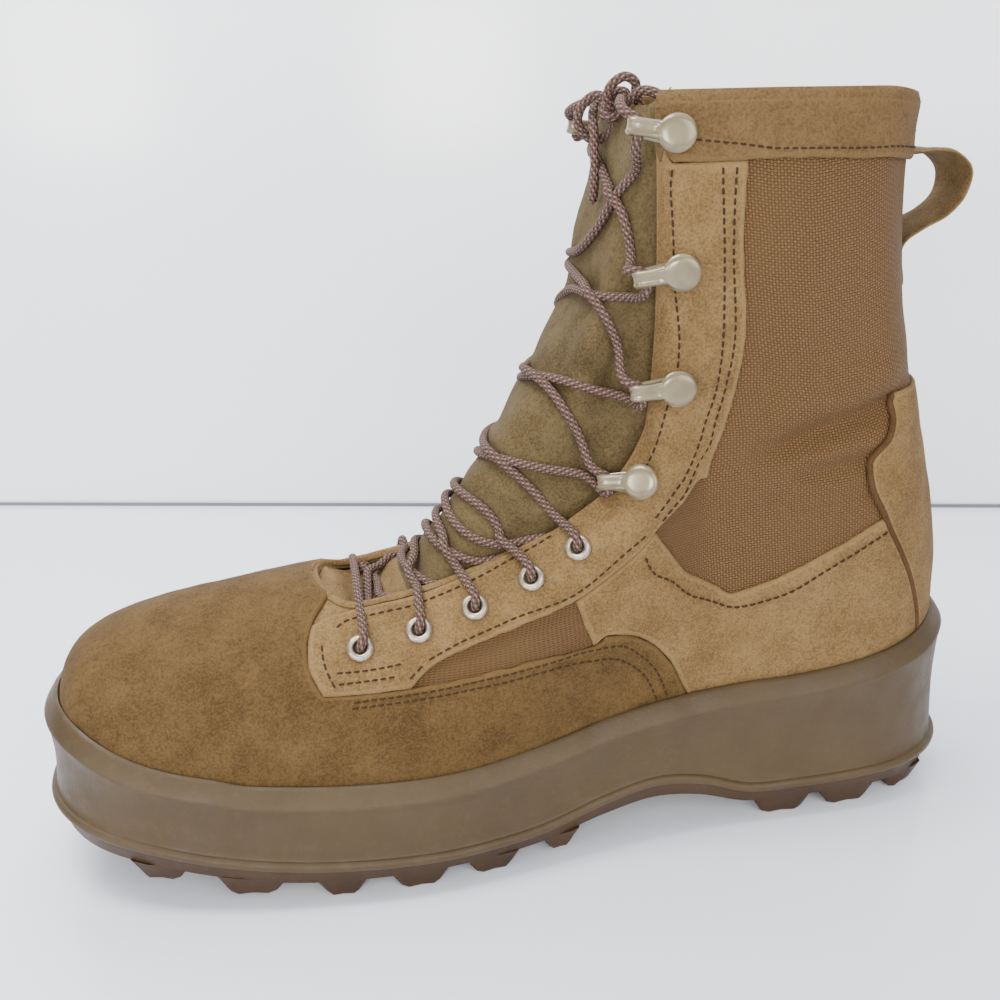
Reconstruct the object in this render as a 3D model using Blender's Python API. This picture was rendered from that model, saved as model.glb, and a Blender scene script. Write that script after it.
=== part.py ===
"""A left combat boot, built as its maker's pieces. Metres, +Z up, toe towards -X, outer side towards -Y."""
import math

import bmesh
import bpy
import numpy as np
from mathutils import Vector
from mathutils.geometry import delaunay_2d_cdt

# Driving sizes of the last and the sole
LENGTH = 0.333
BALL_HALF = 0.056
COLLAR_HEIGHT = 0.253
WALL = 0.0022
OVERLAY = 0.0014
GAP = 0.0003
FIT = 0.0001
WELT_INSET = 0.0075
WELT_DEPTH = 0.006
BEAD_HEIGHT = 0.0035
BEAD_PROUD = 0.0012
BEAD_ROUND = 0.0010
BEAD_CREVICE = 0.0006
SHOULDER_DROP = 0.0055
SHOULDER_INSET = 0.0035
SHOULDER_EASE = 0.0006
LUG_TAPER = 0.0022
LUG_WIDTH = 0.015
LUG_ROOT = 0.001
LUG_EDGE = 0.0016
LUG_FLARE = 0.0028
LUG_AISLE = 0.005
LUG_STAGGER = 0.008
LUG_SPLIT = 0.002
SLAB_INSET = 0.0012
SLAB_BEVEL = 0.0012
INSOLE_THICKNESS = 0.005
INSOLE_CLEARANCE = 0.0012
INSOLE_BEVEL = 0.0013
TONGUE_THICKNESS = 0.0022
TONGUE_RISE = 0.005
TONGUE_LEAN = 0.001
TONGUE_ROOT = (-0.009, 0.0, -0.0035)
EYELET_BORE = 0.0022
EYELET_TUBE = 0.0028
EYELET_FLANGE = 0.0046
EYELET_CROWN = 0.0009
HOOK_CAP = 0.0062
HOOK_SHEET = 0.0010
HOOK_REACH = 0.0145
HOOK_MOUTH = 0.0035
LACE = 0.0031
LOOP_HALF = 0.0115
LOOP_STRAP = 0.0018
LOOP_REACH = 0.0225
LOOP_DROP = 0.0255

# Where the tongue's side wings start up the rib, and how full its bulge is beside the edge and at the middle
TONGUE_WING = 0.86
TONGUE_SIDE_PULL = 0.62
TONGUE_CROWN_PULL = 0.72
# Share of TONGUE_RISE that the tongue's top corners keep
TONGUE_CORNER = 0.35

# Shares up the back rib where the pull loop is held on the band and on the shaft
LOOP_ON_BAND = (0.962, 0.935)
LOOP_ON_SHAFT = (0.790, 0.730)

# Last share of the sole that still has a pair of middle lugs beside its rim lugs
LAST_MIDDLE_LUG = 0.95

# Share of the tongue's half width that the lace strands reach on each side
LACE_REACH = 0.75
# Share of the half outline that a strand keeps from the row it starts or ends at
LACE_SPREAD = 0.008

# Gap that each panel keeps from a shared seam line
SEAM_GAP = 0.75 * GAP

# How finely the forms are cut
HALF_COLUMNS = 22
CORNER_COLUMN = 15
COLUMNS = 2 * HALF_COLUMNS
ROWS = 8
EYELET_SIDES = 7
LACE_SIDES = 5
LACE_STEPS = 6

# Share of the half outline where the throat's front corner and the collar's front corner stand
THROAT_SHARE = 0.185
COLLAR_SHARE = 0.690

# Plan outline of the sole, toe tip round the outer side to the heel and back
# x as a share of LENGTH, y as a share of BALL_HALF (outer side negative)
OUTLINE = [
    (0.000, 0.02),
    (0.012, -0.36),
    (0.065, -0.70),
    (0.175, -0.91),
    (0.295, -0.99),
    (0.385, -0.99),
    (0.480, -0.90),
    (0.590, -0.77),
    (0.710, -0.715),
    (0.830, -0.715),
    (0.925, -0.62),
    (0.980, -0.36),
    (1.000, 0.00),
    (0.980, 0.36),
    (0.925, 0.61),
    (0.830, 0.705),
    (0.730, 0.66),
    (0.620, 0.61),
    (0.520, 0.66),
    (0.405, 0.83),
    (0.295, 0.955),
    (0.195, 0.93),
    (0.075, 0.74),
    (0.013, 0.40),
]

# Heights along the sole, as shares of COLLAR_HEIGHT, against x as a share of LENGTH
# x, ground (under the lugs), slab (underside between lugs), bead (its foot), top (edge against the upper)
SOLE_LEVELS = [
    (0.00, 0.058, 0.086, 0.112, 0.250),
    (0.03, 0.046, 0.076, 0.103, 0.232),
    (0.10, 0.036, 0.062, 0.087, 0.196),
    (0.17, 0.018, 0.044, 0.068, 0.176),
    (0.24, 0.004, 0.030, 0.055, 0.167),
    (0.34, 0.000, 0.026, 0.047, 0.160),
    (0.43, 0.000, 0.026, 0.046, 0.161),
    (0.50, 0.004, 0.031, 0.052, 0.172),
    (0.57, 0.018, 0.049, 0.073, 0.190),
    (0.63, 0.024, 0.059, 0.084, 0.202),
    (0.68, 0.014, 0.050, 0.074, 0.210),
    (0.73, 0.000, 0.030, 0.052, 0.215),
    (0.79, 0.000, 0.028, 0.050, 0.219),
    (0.87, 0.000, 0.028, 0.052, 0.232),
    (0.94, 0.000, 0.028, 0.053, 0.250),
    (1.00, 0.009, 0.034, 0.054, 0.272),
]

# Ribs of the upper, from the sole's edge up to the vamp's middle, the throat and the collar, outer side
# share: place along the half outline from toe (0) to heel (1)
# rise, bulge: low handle above and outside the foot, as shares of COLLAR_HEIGHT and BALL_HALF
# hx, hy, hz: high handle, and tx, ty, tz: top point, as shares of LENGTH, BALL_HALF and COLLAR_HEIGHT
RIBS = [
    (0.000, 0.130, 0.10, 0.100, 0.00, 0.350, 0.288, 0.00, 0.385),
    (0.055, 0.128, 0.10, 0.115, 0.12, 0.350, 0.289, 0.08, 0.384),
    (0.115, 0.125, 0.08, 0.155, 0.30, 0.350, 0.292, 0.16, 0.381),
    (0.185, 0.120, 0.05, 0.210, 0.52, 0.350, 0.298, 0.24, 0.376),
    (0.270, 0.110, 0.04, 0.276, 0.66, 0.330, 0.323, 0.36, 0.364),
    (0.360, 0.105, 0.03, 0.364, 0.72, 0.338, 0.394, 0.38, 0.380),
    (0.440, 0.105, 0.03, 0.463, 0.74, 0.372, 0.475, 0.39, 0.419),
    (0.520, 0.110, 0.03, 0.552, 0.78, 0.435, 0.560, 0.50, 0.484),
    (0.590, 0.140, 0.00, 0.622, 0.82, 0.520, 0.621, 0.55, 0.620),
    (0.645, 0.200, -0.02, 0.643, 0.82, 0.660, 0.626, 0.56, 0.780),
    (0.690, 0.270, -0.06, 0.636, 0.84, 0.780, 0.622, 0.60, 1.000),
    (0.775, 0.270, -0.05, 0.724, 0.88, 0.780, 0.739, 0.74, 1.000),
    (0.865, 0.250, 0.02, 0.815, 0.82, 0.730, 0.834, 0.66, 1.000),
    (0.940, 0.240, 0.11, 0.856, 0.46, 0.670, 0.891, 0.36, 0.993),
    (1.000, 0.240, 0.17, 0.863, 0.00, 0.650, 0.906, 0.00, 0.990),
]

# Edges of the laid-on panels, outer side, as runs of (share round the half outline, share up the rib)
# a run is drawn as one smooth curve, and runs meet in corners
FOOT = 0.004
LIP = 0.990
VAMP_SEAM = [
    (0.660, FOOT),
    (0.637, 0.139),
    (0.600, 0.280),
    (0.562, 0.372),
]
VAMP_TOP_SEAM = [
    (0.562, 0.372),
    (0.552, 0.362),
    (0.478, 0.444),
    (0.379, 0.480),
    (0.300, 0.480),
]
TAB_FRONT = [
    (0.300, 0.480),
    (0.278, 0.590),
    (0.236, 0.830),
]
VAMP_LIP = [
    (0.236, 0.830),
    (0.214, 0.950),
    (0.200, LIP),
]
EYESTAY_LIP = [
    (0.236, 0.830),
    (0.250, 0.905),
    (0.290, 0.950),
    (0.345, 0.950),
    (0.410, 0.965),
    (0.470, LIP),
]
FACING_LIP = [
    (0.470, LIP),
    (0.560, LIP),
    (0.610, LIP),
    (0.674, LIP),
]
BAND_FRONT = [
    (0.674, LIP),
    (0.676, 0.940),
    (0.698, 0.886),
]
BAND_FOOT = [
    (0.698, 0.886),
    (0.748, 0.888),
]
FACING_REAR = [
    (0.748, 0.888),
    (0.742, 0.749),
    (0.737, 0.610),
    (0.715, 0.486),
    (0.684, 0.398),
]
FACING_FOOT = [
    (0.684, 0.398),
    (0.642, 0.475),
    (0.607, 0.544),
]
EYESTAY_FOOT = [
    (0.607, 0.544),
    (0.561, 0.587),
    (0.520, 0.592),
    (0.469, 0.606),
    (0.430, 0.598),
    (0.396, 0.568),
    (0.379, 0.480),
]
VENT_REAR = [
    (0.520, 0.592),
    (0.552, 0.362),
]
SHAFT_FOOT = [
    (0.607, 0.544),
    (0.637, 0.386),
    (0.660, 0.280),
    (0.690, 0.206),
    (0.717, 0.197),
    (0.793, 0.243),
    (0.856, 0.301),
]
BACKSTAY_SEAM = [
    (0.912, FOOT),
    (0.894, 0.139),
    (0.874, 0.228),
    (0.856, 0.301),
]
BACKSTAY_SHOULDER = [
    (0.856, 0.301),
    (0.840, 0.390),
    (0.868, 0.470),
    (0.884, 0.533),
]
BACKSTAY_TOP = [
    (0.884, 0.533),
    (0.940, 0.560),
    (1.000, 0.566),
]
BAND_REST = [
    (0.748, 0.888),
    (0.837, 0.896),
    (0.950, 0.920),
    (1.000, 0.922),
]

# Middle line of the tongue: share of the throat beside it, x of LENGTH, z of COLLAR_HEIGHT
TONGUE_LINE = [
    (0.185, 0.291, 0.362),
    (0.270, 0.336, 0.346),
    (0.360, 0.384, 0.383),
    (0.440, 0.426, 0.460),
    (0.520, 0.471, 0.549),
    (0.590, 0.516, 0.644),
    (0.645, 0.562, 0.751),
    (0.690, 0.608, 0.968),
]

# Eyelets and hooks, outer side: share round the half outline and share up the rib
EYELETS = [(0.318, 0.703), (0.372, 0.745), (0.421, 0.768), (0.472, 0.792), (0.514, 0.815)]
HOOKS = [(0.579, 0.799), (0.648, 0.714), (0.682, 0.734), (0.707, 0.931)]
HOOK_TIPS = [0.544, 0.602, 0.648, 0.675]

# Hook sheet along its length: reach and height as shares of HOOK_REACH and HOOK_MOUTH, half width of HOOK_CAP
# it lies on the facing, folds round its tip and ends in a round domed cap over its rivet
HOOK_FORM = [
    (-0.15, 0.00, 0.55),
    (0.55, 0.00, 0.50),
    (0.93, 0.12, 0.47),
    (1.00, 0.55, 0.46),
    (0.92, 0.98, 0.46),
    (0.42, 1.10, 0.50),
    (0.28, 1.12, 0.80),
    (0.00, 1.20, 1.00),
    (-0.28, 1.12, 0.80),
    (-0.41, 1.05, 0.30),
]

# Free lace over the collar's front: x of LENGTH, y of BALL_HALF, z of COLLAR_HEIGHT
LACE_BOW = [
    (0.603, -0.09, 0.976),
    (0.594, -0.13, 0.998),
    (0.597, -0.19, 1.014),
    (0.607, -0.23, 1.022),
    (0.617, -0.23, 1.015),
    (0.619, -0.20, 1.002),
    (0.6235, -0.196, 0.987),
    (0.6255, -0.192, 0.974),
]
LACE_TUCKED_END = [
    (0.607, -0.28, 0.991),
    (0.616, -0.34, 1.004),
    (0.629, -0.42, 1.000),
    (0.638, -0.46, 0.984),
    (0.638, -0.47, 0.955),
    (0.637, -0.47, 0.925),
]
LACE_HANGING_END = [
    (0.594, 0.14, 0.990),
    (0.588, 0.05, 0.978),
    (0.586, -0.03, 0.958),
    (0.585, -0.07, 0.930),
    (0.584, -0.09, 0.900),
    (0.582, -0.09, 0.868),
]

# Lugs along both edges of the sole and across it, each from one share of LENGTH to another
LUGS = [
    (0.085, 0.130),
    (0.172, 0.226),
    (0.270, 0.308),
    (0.345, 0.393),
    (0.425, 0.470),
    (0.508, 0.535),
    (0.750, 0.805),
    (0.829, 0.886),
    (0.919, 0.960),
]

MATERIALS = {
    "suede": ((0.33, 0.20, 0.09), 0.95, 0.0),
    "textile": ((0.27, 0.15, 0.06), 0.9, 0.0),
    "tongue_leather": ((0.22, 0.15, 0.06), 0.75, 0.0),
    "midsole": ((0.17, 0.11, 0.06), 0.6, 0.0),
    "outsole": ((0.12, 0.065, 0.03), 0.7, 0.0),
    "insole": ((0.10, 0.08, 0.05), 0.9, 0.0),
    "hook_enamel": ((0.33, 0.29, 0.17), 0.3, 0.2),
    "eyelet_metal": ((0.42, 0.37, 0.27), 0.3, 0.9),
    "lace": ((0.27, 0.18, 0.14), 0.85, 0.0),
    "pull_strap": ((0.25, 0.18, 0.08), 0.9, 0.0),
}


def ring_spline(knots, values, at):
    """Periodic cubic spline of period 1 through the values at the knots, read at the places given."""
    knots = np.asarray(knots, float)
    values = np.asarray(values, float).reshape(len(knots), -1)
    count = len(knots)
    step = np.diff(np.append(knots, knots[0] + 1.0))
    system = np.zeros((count, count))
    right = np.zeros_like(values)
    for i in range(count):
        before = (i - 1) % count
        after = (i + 1) % count
        system[i, before] += step[before]
        system[i, i] += 2 * (step[before] + step[i])
        system[i, after] += step[i]
        rise = (values[after] - values[i]) / step[i]
        fall = (values[i] - values[before]) / step[before]
        right[i] = 6 * (rise - fall)
    bend = np.linalg.solve(system, right)
    place = knots[0] + np.mod(np.asarray(at, float) - knots[0], 1.0)
    index = np.clip(np.searchsorted(knots, place, side="right") - 1, 0, count - 1)
    after = (index + 1) % count
    width = step[index][:, None]
    far = (place - knots[index])[:, None] / width
    near = 1 - far
    curve = near * values[index] + far * values[after]
    curve += width ** 2 / 6 * ((near ** 3 - near) * bend[index] + (far ** 3 - far) * bend[after])
    return curve


def ring_blend(knots, values, at):
    """Like ring_spline, but it never swings past its values, so a corner stays a corner."""
    knots = np.asarray(knots, float)
    values = np.asarray(values, float)
    count = len(knots)
    step = np.diff(np.append(knots, knots[0] + 1.0))[:, None]
    rise = (np.roll(values, -1, axis=0) - values) / step
    before = np.roll(rise, 1, axis=0)
    width = np.roll(step, 1, axis=0)
    near = 2 * step + width
    far = step + 2 * width
    same = before * rise > 0
    safe_before = np.where(same, before, 1)
    safe_rise = np.where(same, rise, 1)
    slope = np.where(same, (near + far) / (near / safe_before + far / safe_rise), 0)
    place = knots[0] + np.mod(np.asarray(at, float) - knots[0], 1.0)
    index = np.clip(np.searchsorted(knots, place, side="right") - 1, 0, count - 1)
    after = (index + 1) % count
    span = step[index]
    t = (place - knots[index])[:, None] / span
    start = slope[index] * span
    end = slope[after] * span
    blend = 3 * t ** 2 - 2 * t ** 3
    change = values[after] - values[index]
    return values[index] + change * blend + start * (t - 2 * t ** 2 + t ** 3) + end * (t ** 3 - t ** 2)


def level(x, column):
    """Height of one line of the sole at x, read smoothly from SOLE_LEVELS."""
    table = np.array(SOLE_LEVELS)
    share = np.clip(np.asarray(x, float) / LENGTH, 0, 1)
    knots = table[:, 0]
    heights = table[:, column]
    slope = np.gradient(heights, knots)
    index = np.clip(np.searchsorted(knots, share, side="right") - 1, 0, len(knots) - 2)
    width = knots[index + 1] - knots[index]
    t = (share - knots[index]) / width
    rise = heights[index + 1] - heights[index]
    flat = np.isclose(rise, 0)
    start = np.where(flat, 0, slope[index]) * width
    end = np.where(flat, 0, slope[index + 1]) * width
    blend = 3 * t ** 2 - 2 * t ** 3
    height = heights[index] + rise * blend + start * (t - 2 * t ** 2 + t ** 3) + end * (t ** 3 - t ** 2)
    return np.maximum(height, 0) * COLLAR_HEIGHT


def outline_curve():
    """Fine closed outline of the sole: its points, and the share of arc that each point has."""
    points = np.array(OUTLINE) * (LENGTH, BALL_HALF)
    closed = np.vstack([points, points[:1]])
    chord = np.linalg.norm(np.diff(closed, axis=0), axis=1) ** 0.75
    knots = np.append(0, np.cumsum(chord))[:-1] / chord.sum()
    fine = 2400
    curve = ring_spline(knots, points, np.arange(fine) / fine)
    heel = int(np.argmax(curve[:, 0]))
    share = np.zeros(fine)
    for start, stop, low, high in ((0, heel, 0.0, 0.5), (heel, fine, 0.5, 1.0)):
        piece = curve[np.arange(start, stop + 1) % fine]
        arc = np.append(0, np.cumsum(np.linalg.norm(np.diff(piece, axis=0), axis=1)))
        share[start:stop] = (low + (high - low) * arc / arc[-1])[:-1]
    return curve, share


CURVE, CURVE_SHARE = outline_curve()


def outline(q, inset=0.0):
    """Points of the outline at shares q (0 toe, 0.5 heel, outer side first), moved in by inset."""
    q = np.mod(np.asarray(q, float), 1.0)
    share = np.append(CURVE_SHARE, 1.0)
    closed = np.vstack([CURVE, CURVE[:1]])
    step = 0.004
    ahead = np.stack([np.interp(np.mod(q + step, 1), share, closed[:, k]) for k in (0, 1)], -1)
    behind = np.stack([np.interp(np.mod(q - step, 1), share, closed[:, k]) for k in (0, 1)], -1)
    here = np.stack([np.interp(q, share, closed[:, k]) for k in (0, 1)], -1)
    along = ahead - behind
    along /= np.linalg.norm(along, axis=1)[:, None]
    outward = np.stack([along[:, 1], -along[:, 0]], -1)
    middle = np.array([LENGTH / 2, 0.0])
    probe = np.sum(outward * (here - middle), axis=1)
    if np.sum(probe) < 0:
        outward = -outward
    return here - outward * inset, outward


def rib_values(q):
    """Handles and top of the rib at each share q of the full loop."""
    table = np.array(RIBS)
    outer = table.copy()
    outer[:, 0] = table[:, 0] / 2
    outer[:, 4] = -table[:, 4]
    outer[:, 7] = -table[:, 7]
    inner = table[-2:0:-1].copy()
    inner[:, 0] = 1 - table[-2:0:-1, 0] / 2
    loop = np.vstack([outer, inner])
    return ring_blend(loop[:, 0], loop[:, 1:], q)


def upper_point(q, u):
    """Outer face of the upper at share q round the outline and share u up the rib."""
    q = np.asarray(q, float)
    u = np.asarray(u, float)[:, None]
    foot, outward = outline(q, WELT_INSET)
    value = rib_values(q)
    start = np.column_stack([foot, level(foot[:, 0], 4) - WELT_DEPTH])
    low = start.copy()
    low[:, :2] += outward * (value[:, 1] * BALL_HALF)[:, None]
    low[:, 2] += value[:, 0] * COLLAR_HEIGHT
    high = value[:, 2:5] * (LENGTH, BALL_HALF, COLLAR_HEIGHT)
    top = value[:, 5:8] * (LENGTH, BALL_HALF, COLLAR_HEIGHT)
    v = 1 - u
    return v ** 3 * start + 3 * v ** 2 * u * low + 3 * v * u ** 2 * high + u ** 3 * top


def column_shares():
    """Shares q of the upper's columns, with one column on each corner of the collar."""
    first = np.arange(CORNER_COLUMN) * (COLLAR_SHARE / CORNER_COLUMN)
    rest = COLLAR_SHARE + np.arange(HALF_COLUMNS - CORNER_COLUMN + 1) * (
        (1 - COLLAR_SHARE) / (HALF_COLUMNS - CORNER_COLUMN))
    outer = np.append(first, rest) / 2
    inner = 1 - outer[-2:0:-1]
    return np.append(outer, inner)


def upper_normal(q, u):
    """Outward unit normal of the upper."""
    q = np.asarray(q, float)
    u = np.asarray(u, float)
    dq = 0.003
    du = 0.01
    around = upper_point(q + dq, u) - upper_point(q - dq, u)
    up = upper_point(q, np.minimum(u + du, 1)) - upper_point(q, np.maximum(u - du, 0))
    normal = np.cross(around, up)
    return normal / np.maximum(np.linalg.norm(normal, axis=1), 1e-12)[:, None]


def upper_offset(q, u, distance):
    """Point of the upper moved out along its normal by distance (in where negative)."""
    return upper_point(q, u) + upper_normal(q, u) * distance


GRID_Q = column_shares()
GRID_U = np.arange(ROWS + 1) / ROWS
GRID_POINT = np.array([upper_point(GRID_Q, np.full(COLUMNS, u)) for u in GRID_U])
GRID_NORMAL = np.array([upper_normal(GRID_Q, np.full(COLUMNS, u)) for u in GRID_U])


def facet_point(q, u, distance):
    """Point on the upper's facets at q and u, moved out by distance, so that panels lie flat on them."""
    q = np.mod(np.asarray(q, float), 1.0)
    u = np.clip(np.asarray(u, float), 0, 1)
    edges = np.append(GRID_Q, 1.0)
    column = np.clip(np.searchsorted(edges, q, side="right") - 1, 0, COLUMNS - 1)
    row = np.clip((u * ROWS).astype(int), 0, ROWS - 1)
    s = (q - edges[column]) / (edges[column + 1] - edges[column])
    t = u * ROWS - row
    after = (column + 1) % COLUMNS
    moved = GRID_POINT + GRID_NORMAL * distance
    a = moved[row, column]
    b = moved[row, after]
    c = moved[row + 1, after]
    d = moved[row + 1, column]
    s = s[:, None]
    t = t[:, None]
    lower = a + (b - a) * s + (c - b) * t
    upper = a + (c - d) * s + (d - a) * t
    return np.where(s >= t, lower, upper)


def on_facets(q, u):
    """Shares read on the facets that lie nearest to the smooth upper's point at shares q and u."""
    q = np.asarray(q, float)
    u = np.asarray(u, float)
    whole = np.floor(q)
    edges = np.append(GRID_Q, 1.0)
    column = np.clip(np.searchsorted(edges, q - whole, side="right") - 1, 0, COLUMNS - 1)
    row = np.clip((u * ROWS).astype(int), 0, ROWS - 1)
    after = (column + 1) % COLUMNS
    a = GRID_POINT[row, column]
    b = GRID_POINT[row, after]
    c = GRID_POINT[row + 1, after]
    d = GRID_POINT[row + 1, column]
    width = edges[column + 1] - edges[column]
    s = (q - whole - edges[column]) / width
    t = u * ROWS - row
    aim = upper_point(q, u)
    for _ in range(4):
        fit_s = s[:, None]
        fit_t = t[:, None]
        here = (a * (1 - fit_s) + b * fit_s) * (1 - fit_t) + (d * (1 - fit_s) + c * fit_s) * fit_t
        along = (b - a) * (1 - fit_t) + (c - d) * fit_t
        up = (d - a) * (1 - fit_s) + (c - b) * fit_s
        off = aim - here
        aa = np.sum(along * along, axis=1)
        uu = np.sum(up * up, axis=1)
        au = np.sum(along * up, axis=1)
        ra = np.sum(along * off, axis=1)
        ru = np.sum(up * off, axis=1)
        whole_area = np.maximum(aa * uu - au * au, 1e-18)
        s = np.clip(s + (ra * uu - ru * au) / whole_area, 0, 1)
        t = np.clip(t + (ru * aa - ra * au) / whole_area, 0, 1)
    return whole + edges[column] + s * width, (row + t) / ROWS


def clear_scene():
    for item in list(bpy.data.objects):
        bpy.data.objects.remove(item, do_unlink=True)


def material(name):
    found = bpy.data.materials.get(name)
    if found:
        return found
    colour, rough, metal = MATERIALS[name]
    made = bpy.data.materials.new(name)
    made.use_nodes = True
    shader = made.node_tree.nodes["Principled BSDF"]
    shader.inputs["Base Color"].default_value = (*colour, 1)
    shader.inputs["Roughness"].default_value = rough
    shader.inputs["Metallic"].default_value = metal
    return made


ROOT = None


def add(name, points, faces, slot, smooth=40):
    """One closed body from points and faces, faces turned out, under the root."""
    mesh = bpy.data.meshes.new(name)
    mesh.from_pydata([tuple(p) for p in points], [], [tuple(f) for f in faces])
    work = bmesh.new()
    work.from_mesh(mesh)
    bmesh.ops.remove_doubles(work, verts=work.verts, dist=1e-7)
    bmesh.ops.recalc_face_normals(work, faces=work.faces)
    work.to_mesh(mesh)
    work.free()
    mesh.shade_smooth()
    mesh.set_sharp_from_angle(angle=math.radians(smooth))
    item = bpy.data.objects.new(name, mesh)
    bpy.context.collection.objects.link(item)
    item.data.materials.append(material(slot))
    item.parent = ROOT
    return item


def ring_faces(rings, count):
    """Quads between each ring of points and the next one."""
    faces = []
    for row in range(rings - 1):
        for k in range(count):
            after = (k + 1) % count
            low = row * count
            high = low + count
            faces.append((low + k, low + after, high + after, high + k))
    return faces


def across_faces(first, count):
    """Faces across a ring, from its outer side to its inner side, station by station."""
    faces = [(first, first + 1, first + count - 1)]
    for k in range(1, count // 2 - 1):
        faces.append((first + k, first + k + 1, first + count - k - 1, first + count - k))
    half = count // 2
    faces.append((first + half - 1, first + half, first + half + 1))
    return faces


def union(item, tools):
    """Join the tools onto the item and remove them."""
    cut(item, tools, "UNION")


def cut(item, tools, operation="DIFFERENCE"):
    """Boolean of item with each tool, applied; the tools are removed."""
    for tool in tools:
        change = item.modifiers.new("shape", "BOOLEAN")
        change.operation = operation
        change.solver = "EXACT"
        change.object = tool
    bpy.context.view_layer.update()
    graph = bpy.context.evaluated_depsgraph_get()
    mesh = bpy.data.meshes.new_from_object(item.evaluated_get(graph))
    item.modifiers.clear()
    item.data = mesh
    for tool in tools:
        bpy.data.objects.remove(tool, do_unlink=True)


def grid_triangles():
    """Triangles of the upper's outer face, by grid index."""
    faces = []
    for row in range(ROWS):
        for k in range(COLUMNS):
            after = (k + 1) % COLUMNS
            a = row * COLUMNS + k
            b = row * COLUMNS + after
            c = b + COLUMNS
            d = a + COLUMNS
            faces.append((a, b, c))
            faces.append((a, c, d))
    return faces


def build_upper():
    outer = GRID_POINT.reshape(-1, 3)
    inner = (GRID_POINT - GRID_NORMAL * WALL).reshape(-1, 3)
    count = len(outer)
    faces = grid_triangles()
    faces += [(c + count, b + count, a + count) for a, b, c in grid_triangles()]
    top = ROWS * COLUMNS
    for k in range(COLUMNS):
        after = (k + 1) % COLUMNS
        faces.append((after, k, k + count, after + count))
        faces.append((top + k, top + after, top + after + count, top + k + count))
    item = add("upper", np.vstack([outer, inner]), faces, "textile")
    cut(item, [eyelet_drill(side, spot) for side in SIDES for spot in EYELETS])
    return item


def smooth_run(run, step=0.027):
    """Points along a run of chosen points, on a smooth curve through them."""
    run = np.array(run, float)
    if len(run) == 2:
        parts = max(2, int(np.ceil(np.linalg.norm(run[1] - run[0]) / (3 * step))))
        t = np.linspace(0, 1, parts + 1)[:, None]
        return run[0] + (run[1] - run[0]) * t
    padded = np.vstack([2 * run[0] - run[1], run, 2 * run[-1] - run[-2]])
    points = []
    for i in range(1, len(padded) - 2):
        p0, p1, p2, p3 = padded[i - 1:i + 3]
        scale = np.array([1.0, 0.5])
        parts = max(1, int(np.ceil(np.linalg.norm((p2 - p1) * scale) / (1.6 * step))))
        for t in np.arange(parts) / parts:
            bend = (2 * p0 - 5 * p1 + 4 * p2 - p3) * t * t + (3 * p1 - p0 - 3 * p2 + p3) * t ** 3
            points.append(0.5 * (2 * p1 + (p2 - p0) * t + bend))
    points.append(padded[-2])
    return np.array(points)


def loop_of(runs):
    """Closed outline from runs, each given with a sign: -1 reads it backwards."""
    points = []
    for run, sign in runs:
        curve = smooth_run(run)[::sign]
        points.extend(curve[:-1])
    return np.array(points)


def inside(points, outline_points):
    """Whether each 2D point lies inside the closed outline."""
    x = points[:, 0]
    y = points[:, 1]
    found = np.zeros(len(points), bool)
    x0, y0 = outline_points[-1]
    for x1, y1 in outline_points:
        crosses = (y0 > y) != (y1 > y)
        rise = np.where(y1 == y0, 1.0, y1 - y0)
        found ^= crosses & (x < (x1 - x0) * (y - y0) / rise + x0)
        x0, y0 = x1, y1
    return found


def shrink(loop, margin):
    """Move a closed (q, u) outline inwards by margin, measured on the upper's facets."""
    q = loop[:, 0]
    u = loop[:, 1]
    step = 0.002
    dq = (facet_point(q + step, u, 0) - facet_point(q - step, u, 0)) / (2 * step)
    du = (facet_point(q, u + step, 0) - facet_point(q, u - step, 0)) / (2 * step)
    size_q = np.linalg.norm(dq, axis=1)
    size_u = np.maximum(np.linalg.norm(du, axis=1), 0.04)
    flat = np.column_stack([np.roll(q, -1) - np.roll(q, 1), np.roll(u, -1) - np.roll(u, 1)])
    along = flat * np.column_stack([size_q, size_u])
    along /= np.maximum(np.linalg.norm(along, axis=1), 1e-12)[:, None]
    area = np.sum(q * np.roll(u, -1) - np.roll(q, -1) * u)
    side = 1.0 if area > 0 else -1.0
    return loop + np.column_stack([-along[:, 1] / size_q, along[:, 0] / size_u]) * margin * side


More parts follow.
